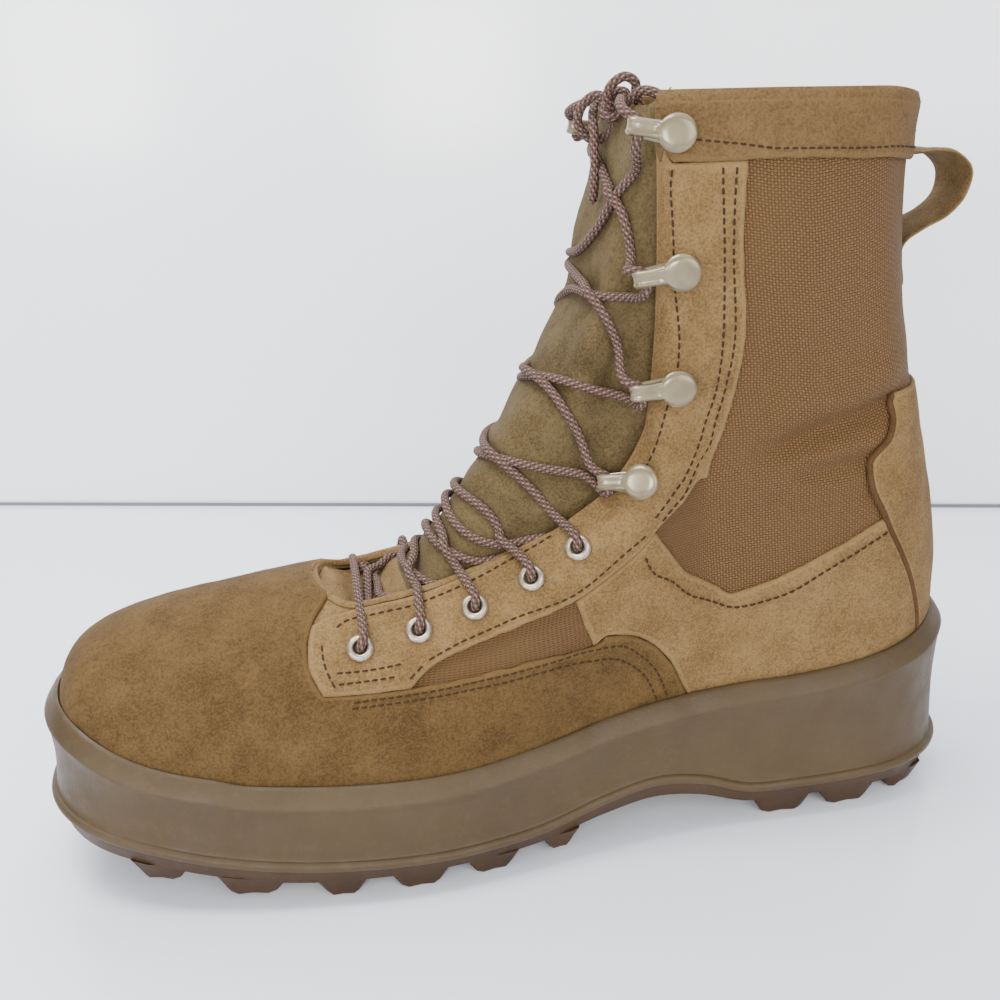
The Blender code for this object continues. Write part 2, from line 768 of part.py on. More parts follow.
def panel(name, loop, slot, tools=()):
    """One laid-on panel: the stretch of the upper inside a (q, u) outline, OVERLAY thick."""
    loop = shrink(np.column_stack(on_facets(loop[:, 0], loop[:, 1])), SEAM_GAP)
    first = math.floor(loop[:, 0].min() * 2) - 1
    wraps = range(first, first + 4)
    points = [Vector(p) for p in loop]
    edges = [(i, (i + 1) % len(points)) for i in range(len(points))]
    low, high = loop[:, 0].min() - 0.05, loop[:, 0].max() + 0.05
    columns = sorted({round(q + wrap, 9) for wrap in wraps for q in GRID_Q if low < q + wrap < high})
    base = len(points)
    for q in columns:
        points.extend(Vector((q, u)) for u in GRID_U)
    rows = ROWS + 1
    for i in range(len(columns)):
        for j in range(rows):
            here = base + i * rows + j
            if j < ROWS:
                edges.append((here, here + 1))
            if i + 1 < len(columns):
                edges.append((here, here + rows))
                if j < ROWS:
                    edges.append((here, here + rows + 1))
    flat, _, faces, *_ = delaunay_2d_cdt(points, edges, [], 0, 1e-7)
    flat = np.array([tuple(p) for p in flat])
    middle = np.array([flat[list(f)].mean(axis=0) for f in faces])
    kept = [f for f, found in zip(faces, inside(middle, loop)) if found]
    used = sorted({i for f in kept for i in f})
    index = {old: new for new, old in enumerate(used)}
    kept = [tuple(index[i] for i in f) for f in kept]
    q, u = flat[used].T
    count = len(used)
    solid = np.vstack([facet_point(q, u, GAP), facet_point(q, u, GAP + OVERLAY)])
    rim = {}
    for f in kept:
        for a, b in zip(f, f[1:] + f[:1]):
            rim[(a, b)] = True
    faces = [tuple(reversed(f)) for f in kept]
    faces += [tuple(i + count for i in f) for f in kept]
    faces += [(a, b, b + count, a + count) for a, b in rim if (b, a) not in rim]
    item = add(name, solid, faces, slot)
    if tools:
        cut(item, list(tools))
    return item


def to_side(runs, side):
    """Runs of the outer side as full-loop shares q, mirrored for the inner side."""
    shifted = []
    for run, sign in runs:
        halves = [(share / 2 if side == "outer" else 1 - share / 2, u) for share, u in run]
        shifted.append((halves, sign))
    return shifted


def both_sides(runs, turn):
    """Closed loop over both sides of a run list that starts and ends on the middle line at share turn."""
    outer = loop_open(to_side(runs, "outer"))
    inner = outer[::-1].copy()
    inner[:, 0] = turn - inner[:, 0]
    return np.vstack([outer, inner[1:-1]])


def loop_open(runs):
    points = [smooth_run(run)[::sign] for run, sign in runs]
    joined = [points[0]]
    joined += [curve[1:] for curve in points[1:]]
    return np.vstack(joined)


SIDES = ("outer", "inner")


# Runs along the feet and lips of the panels that follow no drawn seam
VAMP_FOOT = [(0.0, FOOT), (0.22, FOOT), (0.44, FOOT), (0.660, FOOT)]
VAMP_TOE_LIP = [(0.200, LIP), (0.0, LIP)]
BACKSTAY_FOOT = [(1.0, FOOT), (0.912, FOOT)]
BAND_CORNER = [(0.674, LIP), (0.690, LIP)]
BAND_LIP = [(0.690, LIP), (1.0, LIP)]
EYESTAY_REST = [(0.379, 0.480), (0.300, 0.480)]
QUARTER_FOOT = [(0.660, FOOT), (0.912, FOOT)]
QUARTER_REST = [(0.552, 0.362), (0.562, 0.372)]


def build_panels():
    vamp = [(VAMP_FOOT, 1), (VAMP_SEAM, 1), (VAMP_TOP_SEAM, 1), (TAB_FRONT, 1), (VAMP_LIP, 1), (VAMP_TOE_LIP, 1)]
    panel("vamp", both_sides(vamp, 0.0), "suede")
    backstay = [(BACKSTAY_FOOT, 1), (BACKSTAY_SEAM, 1), (BACKSTAY_SHOULDER, 1), (BACKSTAY_TOP, 1)]
    panel("backstay", both_sides(backstay, 1.0), "suede")
    band = [(BAND_REST, -1), (BAND_FOOT, -1), (BAND_FRONT, -1), (BAND_CORNER, 1), (BAND_LIP, 1)]
    panel("collar_band", both_sides(band, 1.0), "suede")
    eyestay = [(TAB_FRONT, 1), (EYESTAY_LIP, 1), (FACING_LIP, 1), (BAND_FRONT, 1), (BAND_FOOT, 1)]
    eyestay += [(FACING_REAR, 1), (FACING_FOOT, 1), (EYESTAY_FOOT, 1), (EYESTAY_REST, 1)]
    quarter = [(QUARTER_FOOT, 1), (BACKSTAY_SEAM, 1), (SHAFT_FOOT, -1), (EYESTAY_FOOT[:3], 1)]
    quarter += [(VENT_REAR, 1), (QUARTER_REST, 1), (VAMP_SEAM, -1)]
    for side in SIDES:
        drills = [eyelet_drill(side, spot) for spot in EYELETS]
        panel("eyestay_" + side, loop_of(to_side(eyestay, side)), "suede", drills)
        panel("quarter_" + side, loop_of(to_side(quarter, side)), "suede")


def side_q(side, share):
    return share / 2 if side == "outer" else 1 - share / 2


def spot_frame(side, spot):
    """Point on the upper's facets, outward normal, and the direction along the throat's edge, at a spot."""
    q = np.array([side_q(side, spot[0])])
    u = np.array([spot[1]])
    normal = upper_normal(q, u)[0]
    ahead = np.array([side_q(side, spot[0] + 0.02)])
    along = upper_point(ahead, np.ones(1))[0] - upper_point(q, np.ones(1))[0]
    along -= normal * np.dot(along, normal)
    along /= np.linalg.norm(along)
    return facet_point(*on_facets(q, u), 0.0)[0], normal, along


def turned(name, place, normal, along, profile, sides, slot):
    """Closed ring turned round the normal at place: profile is (radius, height) pairs."""
    across = np.cross(normal, along)
    points = []
    for radius, height in profile:
        for k in range(sides):
            angle = 2 * math.pi * k / sides
            offset = along * math.cos(angle) + across * math.sin(angle)
            points.append(place + normal * height + offset * radius)
    rings = len(profile)
    faces = ring_faces(rings, sides)
    for k in range(sides):
        after = (k + 1) % sides
        faces.append(((rings - 1) * sides + k, (rings - 1) * sides + after, after, k))
    return add(name, points, faces, slot)


def eyelet_drill(side, spot):
    """Round cutter through the upper and the eyestay where an eyelet sits."""
    place, normal, along = spot_frame(side, spot)
    across = np.cross(normal, along)
    radius = EYELET_TUBE + GAP
    points = []
    for height in (-2.5 * WALL, 3 * OVERLAY):
        for k in range(EYELET_SIDES):
            angle = 2 * math.pi * k / EYELET_SIDES
            turn = along * math.cos(angle) + across * math.sin(angle)
            points.append(place + normal * height + turn * radius)
    faces = ring_faces(2, EYELET_SIDES)
    faces.append(tuple(range(EYELET_SIDES)))
    faces.append(tuple(range(2 * EYELET_SIDES - 1, EYELET_SIDES - 1, -1)))
    item = add("drill", points, faces, "suede")
    item.hide_render = True
    item.display_type = "WIRE"
    return item


def build_eyelets():
    seat = GAP * 3 + OVERLAY
    profile = [
        (EYELET_BORE, -WALL - GAP),
        (EYELET_BORE, seat + EYELET_CROWN),
        (EYELET_FLANGE, seat),
        (EYELET_TUBE, seat),
        (EYELET_TUBE, -WALL - GAP),
    ]
    for side in SIDES:
        for number, spot in enumerate(EYELETS, 1):
            place, normal, along = spot_frame(side, spot)
            name = "eyelet_%s_%d" % (side, number)
            turned(name, place, normal, along, profile, EYELET_SIDES, "eyelet_metal")


def welt_ring(q, height_share):
    """Ring just outside the upper's face, between its foot (0) and the sole's top edge (1)."""
    u = np.zeros(len(q))
    low = np.zeros(len(q))
    high = np.full(len(q), 0.5)
    base = upper_point(q, low)[:, 2]
    foot, _ = outline(q, WELT_INSET)
    target = base + (level(foot[:, 0], 4) - base) * height_share
    for _ in range(24):
        u = (low + high) / 2
        above = upper_point(q, u)[:, 2] > target
        high = np.where(above, u, high)
        low = np.where(above, low, u)
    return facet_point(q, u, 2 * GAP + OVERLAY + FIT)


def sole_ring(q, inset, column, lift):
    place, _ = outline(q, inset)
    edge, _ = outline(q, 0)
    return np.column_stack([place, level(edge[:, 0], column) + lift])


def build_midsole():
    n = COLUMNS
    q = GRID_Q
    inner_top = welt_ring(q, 1.0)
    inner_foot = welt_ring(q, 0.0)
    inner_foot[:, 2] = upper_point(q, np.zeros(n))[:, 2] - GAP
    rings = [
        sole_ring(q, BEAD_CREVICE, 3, GAP),
        sole_ring(q, -BEAD_PROUD, 3, BEAD_ROUND),
        sole_ring(q, -BEAD_PROUD, 3, BEAD_HEIGHT - BEAD_ROUND),
        sole_ring(q, BEAD_CREVICE, 3, BEAD_HEIGHT),
        sole_ring(q, 0.0, 4, -SHOULDER_DROP),
        sole_ring(q, SHOULDER_INSET, 4, -SHOULDER_EASE),
        inner_top,
        inner_foot,
    ]
    points = np.vstack(rings)
    faces = ring_faces(len(rings), n)
    faces += across_faces(0, n)
    faces += across_faces((len(rings) - 1) * n, n)
    return add("midsole", points, faces, "midsole", 30)


def build_insole():
    n = COLUMNS
    q = GRID_Q
    inset = WELT_INSET + WALL + INSOLE_CLEARANCE
    bottom, _ = outline(q, inset)
    floor = upper_point(q, np.zeros(n))[:, 2]
    rings = [
        np.column_stack([bottom, floor + FIT]),
        np.column_stack([bottom, floor + INSOLE_THICKNESS - INSOLE_BEVEL]),
        np.column_stack([outline(q, inset + INSOLE_BEVEL)[0], floor + INSOLE_THICKNESS]),
    ]
    faces = ring_faces(3, n) + across_faces(0, n) + across_faces(2 * n, n)
    return add("insole", np.vstack(rings), faces, "insole")


def edge_q(x, side):
    """Share q of the outline where it passes x, on one side."""
    half = np.linspace(0, 0.5, 600)
    q = half if side == "outer" else 1 - half
    points, _ = outline(q)
    return float(np.interp(x, points[:, 0], half if side == "outer" else -half)) % 1.0


# A corner is drawn in along its diagonal, which is this much longer than its faces' own draw
CORNER_DRAW = 1.3


def wedge(name, corners, foot, taper, root):
    """Lug with four plan corners: from root inside the slab down to foot, its foot drawn in by taper."""
    corners = np.array(corners)
    middle = corners.mean(axis=0)
    reach = middle - corners
    reach /= np.linalg.norm(reach, axis=1)[:, None]
    drawn = corners + reach * taper * CORNER_DRAW
    flared = corners.copy()
    flared[:, 0] += np.sign(corners[:, 0] - middle[0]) * LUG_FLARE
    points = [(*c, h) for c, h in zip(flared, root)]
    points += [(*c, foot) for c in drawn]
    faces = [(0, 1, 2, 3), (7, 6, 5, 4)]
    faces += [(k, (k + 1) % 4, (k + 1) % 4 + 4, k + 4) for k in range(4)]
    return add(name, points, faces, "outsole")


def build_outsole():
    n = COLUMNS
    q = GRID_Q
    rings = [
        sole_ring(q, SLAB_INSET, 3, 0.0),
        sole_ring(q, SLAB_INSET, 3, -SLAB_BEVEL),
        sole_ring(q, SLAB_INSET + SLAB_BEVEL, 2, 0.0),
    ]
    faces = ring_faces(3, n) + across_faces(0, n) + across_faces(2 * n, n)
    slab = add("outsole", np.vstack(rings), faces, "outsole", 30)
    lugs = []
    for start, stop in LUGS:
        for side in SIDES:
            ends = np.array([edge_q(start * LENGTH, side), edge_q(stop * LENGTH, side)])
            outer, _ = outline(ends, SLAB_INSET + LUG_EDGE)
            inner, _ = outline(ends, LUG_WIDTH)
            lugs.append(lug([outer[0], outer[1], inner[1], inner[0]], (start + stop) / 2 * LENGTH))
        if stop < LAST_MIDDLE_LUG:
            rim, _ = outline(np.array([edge_q(start * LENGTH, side) for side in SIDES]), 0)
            low = rim[0][1] + LUG_WIDTH + LUG_AISLE
            high = rim[1][1] - LUG_WIDTH - LUG_AISLE
            x0 = start * LENGTH + LUG_STAGGER
            x1 = stop * LENGTH + LUG_STAGGER
            middle = (low + high) / 2
            for a, b in ((low, middle - LUG_SPLIT), (middle + LUG_SPLIT, high)):
                lugs.append(lug([(x0, a), (x1, a), (x1, b), (x0, b)], (x0 + x1) / 2))
    union(slab, lugs)
    return slab


def lug(corners, x):
    """A lug under the slab: its foot follows the walking line at x."""
    foot = float(level(np.array([x]), 1)[0])
    root = [float(level(np.array([c[0]]), 2)[0]) + LUG_ROOT for c in corners]
    return wedge("lug", corners, foot, LUG_TAPER, root)


def tongue_line(share):
    table = np.array(TONGUE_LINE)
    knots = table[:, 0]
    share = np.clip(share, knots[0], knots[-1])
    slope = np.gradient(table[:, 1:], knots, axis=0)
    index = int(np.clip(np.searchsorted(knots, share, side="right") - 1, 0, len(knots) - 2))
    width = knots[index + 1] - knots[index]
    t = (share - knots[index]) / width
    value = table[index, 1:] + (table[index + 1, 1:] - table[index, 1:]) * (3 * t ** 2 - 2 * t ** 3)
    value = value + slope[index] * width * (t - 2 * t ** 2 + t ** 3)
    value = value + slope[index + 1] * width * (t ** 3 - t ** 2)
    return np.array([value[0] * LENGTH, 0.0, value[1] * COLLAR_HEIGHT])


def tongue_section(share, thickness):
    """Points across the tongue beside one share of the throat, outer to inner side, moved out by thickness."""
    centre = tongue_line(share)
    tuck = WALL + 2 * GAP + TONGUE_THICKNESS - thickness
    halves = []
    for side in SIDES:
        q = np.full(2, side_q(side, share))
        under = facet_point(q, np.array([TONGUE_WING, 1.0]), -tuck)
        halves.append(under)
    middle = (halves[0][1] + halves[1][1]) / 2
    forward = centre - middle
    reach = np.linalg.norm(forward)
    forward = forward / max(reach, 1e-9)
    centre = centre + forward * (thickness - TONGUE_THICKNESS)
    points = []
    for under, sign in ((halves[0], -1.0), (halves[1], 1.0)):
        start = under[1]
        width = abs(start[1])
        first = start + forward * reach * TONGUE_SIDE_PULL
        second = centre + np.array([0, sign * width * TONGUE_CROWN_PULL, 0])
        curve = []
        for t in (0.25, 0.5, 0.75):
            v = 1 - t
            sides = v ** 3 * start + 3 * v * v * t * first
            curve.append(sides + 3 * v * t * t * second + t ** 3 * centre)
        row = [under[0], under[1], *curve]
        points.append(row)
    return points[0] + [centre] + points[1][::-1]


def tongue_shares():
    """Throat shares at which the tongue has a row of points."""
    first = int(np.searchsorted(GRID_Q * 2, THROAT_SHARE - 0.01))
    return GRID_Q[first:CORNER_COLUMN + 1] * 2


def build_tongue():
    shares = tongue_shares()
    layers = []
    for thickness in (TONGUE_THICKNESS, 0.0):
        rows = [np.array(tongue_section(shares[0], thickness)) + TONGUE_ROOT]
        for share in shares:
            rows.append(tongue_section(share, thickness))
        last = np.array(rows[-1])
        half = np.abs(last[0][1])
        lifted = last.copy()
        crown = np.cos(last[:, 1] / half * math.pi / 2)
        lifted[:, 2] += TONGUE_RISE * (TONGUE_CORNER + (1 - TONGUE_CORNER) * crown)
        lifted[:, 0] += TONGUE_LEAN
        rows.append(list(lifted))
        layers.append(np.array(rows))
    rows, across = layers[0].shape[:2]
    count = rows * across
    faces = []
    for i in range(rows - 1):
        for j in range(across - 1):
            a = i * across + j
            quad = (a, a + 1, a + across + 1, a + across)
            faces.append(quad)
            faces.append(tuple(k + count for k in reversed(quad)))
    border = [j for j in range(across)]
    border += [i * across + across - 1 for i in range(1, rows)]
    border += [(rows - 1) * across + j for j in range(across - 2, -1, -1)]
    border += [i * across for i in range(rows - 2, 0, -1)]
    for a, b in zip(border, border[1:] + border[:1]):
        faces.append((b, a, a + count, b + count))
    return add("tongue", np.vstack([layer.reshape(-1, 3) for layer in layers]), faces, "tongue_leather")


def tongue_skin(share, across):
    """Point on the tongue's facets at a throat share, across it from -1 (outer side) to 1 (inner side)."""
    shares = tongue_shares()
    share = min(max(share, shares[0]), shares[-1])
    index = int(np.clip(np.searchsorted(shares, share, side="right") - 1, 0, len(shares) - 2))
    t = (share - shares[index]) / (shares[index + 1] - shares[index])
    lower = np.array(tongue_section(shares[index], TONGUE_THICKNESS))[1:-1]
    upper = np.array(tongue_section(shares[index + 1], TONGUE_THICKNESS))[1:-1]
    row = lower * (1 - t) + upper * t
    place = (across + 1) / 2 * (len(row) - 1)
    index = int(np.clip(math.floor(place), 0, len(row) - 2))
    t = place - index
    return row[index] * (1 - t) + row[index + 1] * t


def tongue_out(share, across):
    """Outward direction of the tongue there."""
    step = 0.02
    side = tongue_skin(share, min(across + step * 8, 1)) - tongue_skin(share, max(across - step * 8, -1))
    ahead = tongue_skin(share + step, across) - tongue_skin(share - step, across)
    normal = np.cross(ahead, side)
    normal /= np.linalg.norm(normal)
    return normal if normal[0] < 0 or normal[2] > 0.5 else -normal


def tube_mesh(points, radius, sides):
    """Rings of a tube along points, with flat ends."""
    points = np.array(points)
    ahead = np.gradient(points, axis=0)
    ahead /= np.linalg.norm(ahead, axis=1)[:, None]
    side = np.cross(ahead[0], (0.3, 0.5, 0.8))
    verts = []
    for place, along in zip(points, ahead):
        side = side - along * np.dot(side, along)
        side /= np.linalg.norm(side)
        other = np.cross(along, side)
        for k in range(sides):
            angle = 2 * math.pi * k / sides
            verts.append(place + (side * math.cos(angle) + other * math.sin(angle)) * radius)
    rings = len(points)
    faces = [f for f in ring_faces(rings, sides)]
    faces.append(tuple(range(sides)))
    faces.append(tuple(range(rings * sides - 1, (rings - 1) * sides - 1, -1)))
    return verts, faces


LACE_LIFT = LACE / 2 + 0.0009


def lace_strand(first, second, lean):
    """Route of one strand over the tongue, from beside row first to short of row second on the other side."""
    points = []
    for step, across in enumerate(np.linspace(-LACE_REACH, LACE_REACH, LACE_STEPS + 1)):
        share = first + (second - first) * step / LACE_STEPS
        points.append(tongue_skin(share, across * lean) + tongue_out(share, across * lean) * LACE_LIFT)
    return points


def build_laces():
    rows = [spot[0] for spot in EYELETS] + HOOK_TIPS
    front = rows[0] - LACE_SPREAD
    verts, faces = tube_mesh(lace_strand(front, front, 1), LACE / 2, LACE_SIDES)
    add("lace_bar", verts, faces, "lace")
    for number, (first, second) in enumerate(zip(rows, rows[1:]), 1):
        strands = []
        for lean in (1, -1):
            route = lace_strand(first + LACE_SPREAD, second - LACE_SPREAD, lean)
            verts, faces = tube_mesh(route, LACE / 2, LACE_SIDES)
            strands.append(add("lace_crossing_%d" % number, verts, faces, "lace"))
        union(strands[0], strands[1:])


def smooth_cord(route, spacing):
    """Points a spacing apart on a smooth curve through a cord's own points."""
    route = np.array(route) * (LENGTH, BALL_HALF, COLLAR_HEIGHT)
    padded = np.vstack([2 * route[0] - route[1], route, 2 * route[-1] - route[-2]])
    points = []
    for i in range(1, len(padded) - 2):
        p0, p1, p2, p3 = padded[i - 1:i + 3]
        parts = max(1, round(float(np.linalg.norm(p2 - p1)) / spacing))
        for t in np.arange(parts) / parts:
            bend = (2 * p0 - 5 * p1 + 4 * p2 - p3) * t * t + (3 * p1 - p0 - 3 * p2 + p3) * t ** 3
            points.append(0.5 * (2 * p1 + (p2 - p0) * t + bend))
    points.append(padded[-2])
    return points


def add_cord(name, route):
    curve = bpy.data.curves.new(name, "CURVE")
    curve.dimensions = "3D"
    curve.bevel_depth = LACE / 2
    curve.bevel_resolution = 2
    curve.use_fill_caps = True
    spline = curve.splines.new("POLY")
    points = smooth_cord(route, 2.5 * LACE)
    spline.points.add(len(points) - 1)
    for point, place in zip(spline.points, points):
        point.co = (*place, 1)
    item = bpy.data.objects.new(name, curve)
    bpy.context.collection.objects.link(item)
    curve.materials.append(material("lace"))
    item.parent = ROOT
    return item


def hook_seat(side, spot, place, aim, across, normal):
    """Height over place at which a hook's sheet just clears the facing under it."""
    around = side_q(side, spot[0]) + np.linspace(-0.06, 0.06, 40)
    q, u = np.meshgrid(around, np.linspace(spot[1] - 0.25, 1.0, 40))
    face = facet_point(q.ravel(), u.ravel(), GAP + OVERLAY) - place
    reach = (face @ aim) / HOOK_REACH
    under = np.abs(face @ across) < HOOK_CAP * 0.62
    under &= (reach > -0.2) & (reach < 1.05)
    return float((face @ normal)[under].max()) + 2 * GAP


def build_hooks():
    for side in SIDES:
        for number, (spot, tip) in enumerate(zip(HOOKS, HOOK_TIPS), 1):
            place, normal, _ = spot_frame(side, spot)
            aim = upper_point(np.array([side_q(side, tip)]), np.ones(1))[0] - place
            aim -= normal * min(np.dot(aim, normal), 0.0)
            aim /= np.linalg.norm(aim)
            normal -= aim * np.dot(aim, normal)
            normal /= np.linalg.norm(normal)
            across = np.cross(normal, aim)
            base = hook_seat(side, spot, place, aim, across, normal)
            form = np.array(HOOK_FORM) * (HOOK_REACH, HOOK_MOUTH, HOOK_CAP)
            middle = form[:, :2] + (0, HOOK_SHEET / 2)
            ahead = np.gradient(middle, axis=0)
            ahead /= np.linalg.norm(ahead, axis=1)[:, None]
            out = np.column_stack([-ahead[:, 1], ahead[:, 0]]) * HOOK_SHEET / 2
            verts = []
            for (f, h), (df, dh), half in zip(middle, out, form[:, 2]):
                for sign, layer in ((-1, 1), (1, 1), (1, -1), (-1, -1)):
                    reach = f + df * layer
                    height = h + dh * layer + base
                    verts.append(place + aim * reach + normal * height + across * half * sign)
            rings = len(middle)
            faces = ring_faces(rings, 4)
            faces += [(0, 1, 2, 3), tuple(range(4 * rings - 1, 4 * rings - 5, -1))]
            add("hook_%s_%d" % (side, number), verts, faces, "hook_enamel")


# The pull loop's free run: out from the band as a share of LOOP_REACH, down as a share of LOOP_DROP
LOOP_RUN = [(0.40, 0.00), (0.71, 0.04), (1.00, 0.275), (0.955, 0.59), (0.665, 0.845), (0.31, 1.00)]


def build_pull_loop():
    """Leather strap at the collar's back: held on the band, out in a loop and back down on the shaft."""
    def back(u, lift):
        return facet_point(np.array([0.5]), np.array([u]), lift)[0]
    seat = LOOP_STRAP / 2 + 2 * GAP
    path = [back(u, seat + OVERLAY) for u in LOOP_ON_BAND]
    high = path[-1]
    path += [high + (out * LOOP_REACH, 0, -down * LOOP_DROP) for out, down in LOOP_RUN]
    path += [back(u, seat) for u in LOOP_ON_SHAFT]
    path[-2] += (GAP * 3, 0, GAP * 3)
    path = np.array(path)
    ahead = np.gradient(path, axis=0)
    ahead /= np.linalg.norm(ahead, axis=1)[:, None]
    out = np.column_stack([ahead[:, 2], np.zeros(len(path)), -ahead[:, 0]]) * LOOP_STRAP / 2
    verts = []
    for place, shift in zip(path, out):
        for sign, layer in ((-1, 1), (1, 1), (1, -1), (-1, -1)):
            verts.append(place + shift * layer + np.array([0, sign * LOOP_HALF, 0]))
    rings = len(path)
    faces = ring_faces(rings, 4)
    faces += [(0, 1, 2, 3), tuple(range(4 * rings - 1, 4 * rings - 5, -1))]
    return add("pull_loop", verts, faces, "pull_strap")


def settle(root):
    """Put the middle of the boot's footprint over the origin, with its lowest point on the floor."""
    bpy.context.view_layer.update()
    graph = bpy.context.evaluated_depsgraph_get()
    low = np.full(3, np.inf)
    high = -low
    for item in root.children:
        if item.type != "MESH":
            continue
        mesh = item.evaluated_get(graph).to_mesh()
        place = np.array([tuple(item.matrix_world @ vertex.co) for vertex in mesh.vertices])
        low = np.minimum(low, place.min(axis=0))
        high = np.maximum(high, place.max(axis=0))
    shift = np.array([-(low[0] + high[0]) / 2, -(low[1] + high[1]) / 2, -low[2]])
    root.location = shift
    bpy.context.view_layer.update()
    return shift


def main():
    global ROOT
    clear_scene()
    ROOT = bpy.data.objects.new("boot", None)
    bpy.context.collection.objects.link(ROOT)
    build_upper()
    build_midsole()
    build_insole()
    build_panels()
    build_eyelets()
    build_outsole()
    build_tongue()
    build_laces()
    build_hooks()
    build_pull_loop()
    add_cord("lace_bow", LACE_BOW)
    add_cord("lace_tucked_end", LACE_TUCKED_END)
    add_cord("lace_hanging_end", LACE_HANGING_END)
    return settle(ROOT)


SHIFT = main()
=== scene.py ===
"""A left combat boot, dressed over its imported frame: suede, woven shaft, lace, metal and sole."""

import math

import bpy
import numpy as np
from mathutils import Matrix, Vector
from mathutils.geometry import delaunay_2d_cdt


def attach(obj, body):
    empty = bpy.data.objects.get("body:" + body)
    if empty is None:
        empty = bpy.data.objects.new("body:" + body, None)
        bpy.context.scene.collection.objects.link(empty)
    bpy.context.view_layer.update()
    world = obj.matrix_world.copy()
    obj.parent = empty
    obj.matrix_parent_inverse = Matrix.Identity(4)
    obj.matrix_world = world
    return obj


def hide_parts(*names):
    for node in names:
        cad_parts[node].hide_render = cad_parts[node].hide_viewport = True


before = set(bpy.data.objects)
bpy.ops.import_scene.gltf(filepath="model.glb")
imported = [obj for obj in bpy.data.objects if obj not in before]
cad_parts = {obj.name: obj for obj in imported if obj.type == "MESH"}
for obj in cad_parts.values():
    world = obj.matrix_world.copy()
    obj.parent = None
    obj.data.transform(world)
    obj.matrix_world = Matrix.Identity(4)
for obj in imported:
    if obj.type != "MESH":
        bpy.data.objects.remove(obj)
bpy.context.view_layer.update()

# The last's own frame stands this far from the row frame
SHIFT = np.array([-0.1665, 0.001174, 0.0])

# Driving sizes, the same as the solids'
LENGTH = 0.333
BALL_HALF = 0.056
COLLAR_HEIGHT = 0.253
WALL = 0.0022
OVERLAY = 0.0014
GAP = 0.0003
WELT_INSET = 0.0075
WELT_DEPTH = 0.006
BEAD_HEIGHT = 0.0035
BEAD_PROUD = 0.0012
SHOULDER_DROP = 0.0055
SHOULDER_INSET = 0.0035
LUG_WIDTH = 0.015
SLAB_INSET = 0.0012
TONGUE_THICKNESS = 0.0022
TONGUE_RISE = 0.005
TONGUE_LEAN = 0.001
TONGUE_ROOT = (-0.009, 0.0, -0.0035)
EYELET_BORE = 0.0022
EYELET_TUBE = 0.0028
EYELET_FLANGE = 0.0046
HOOK_CAP = 0.0062
HOOK_SHEET = 0.0010
HOOK_REACH = 0.0145
HOOK_MOUTH = 0.0035
LACE = 0.0031
LOOP_HALF = 0.0115
LOOP_STRAP = 0.0018

# Share of the half outline where the throat's front corner, the collar's front corner and
# the tongue's top stand
THROAT_SHARE = 0.185
COLLAR_FRONT = 0.674
COLLAR_SHARE = 0.690

# Plan outline of the sole, from the toe tip round the outer side to the heel and back:
# x of LENGTH, y of BALL_HALF (outer side negative)
OUTLINE = [
    (0.000, 0.02), (0.012, -0.36), (0.065, -0.70), (0.175, -0.91), (0.295, -0.99), (0.385, -0.99),
    (0.480, -0.90), (0.590, -0.77), (0.710, -0.715), (0.830, -0.715), (0.925, -0.62), (0.980, -0.36),
    (1.000, 0.00), (0.980, 0.36), (0.925, 0.61), (0.830, 0.705), (0.730, 0.66), (0.620, 0.61),
    (0.520, 0.66), (0.405, 0.83), (0.295, 0.955), (0.195, 0.93), (0.075, 0.74), (0.013, 0.40),
]

# Heights along the sole, as shares of COLLAR_HEIGHT: x of LENGTH, then ground (under the lugs),
# slab (underside between lugs), bead (its foot) and top (edge against the upper)
SOLE_LEVELS = [
    (0.00, 0.058, 0.086, 0.112, 0.250),
    (0.03, 0.046, 0.076, 0.103, 0.232),
    (0.10, 0.036, 0.062, 0.087, 0.196),
    (0.17, 0.018, 0.044, 0.068, 0.176),
    (0.24, 0.004, 0.030, 0.055, 0.167),
    (0.34, 0.000, 0.026, 0.047, 0.160),
    (0.43, 0.000, 0.026, 0.046, 0.161),
    (0.50, 0.004, 0.031, 0.052, 0.172),
    (0.57, 0.018, 0.049, 0.073, 0.190),
    (0.63, 0.024, 0.059, 0.084, 0.202),
    (0.68, 0.014, 0.050, 0.074, 0.210),
    (0.73, 0.000, 0.030, 0.052, 0.215),
    (0.79, 0.000, 0.028, 0.050, 0.219),
    (0.87, 0.000, 0.028, 0.052, 0.232),
    (0.94, 0.000, 0.028, 0.053, 0.250),
    (1.00, 0.009, 0.034, 0.054, 0.272),
]
GROUND, SLAB, BEAD, TOP = range(1, 5)

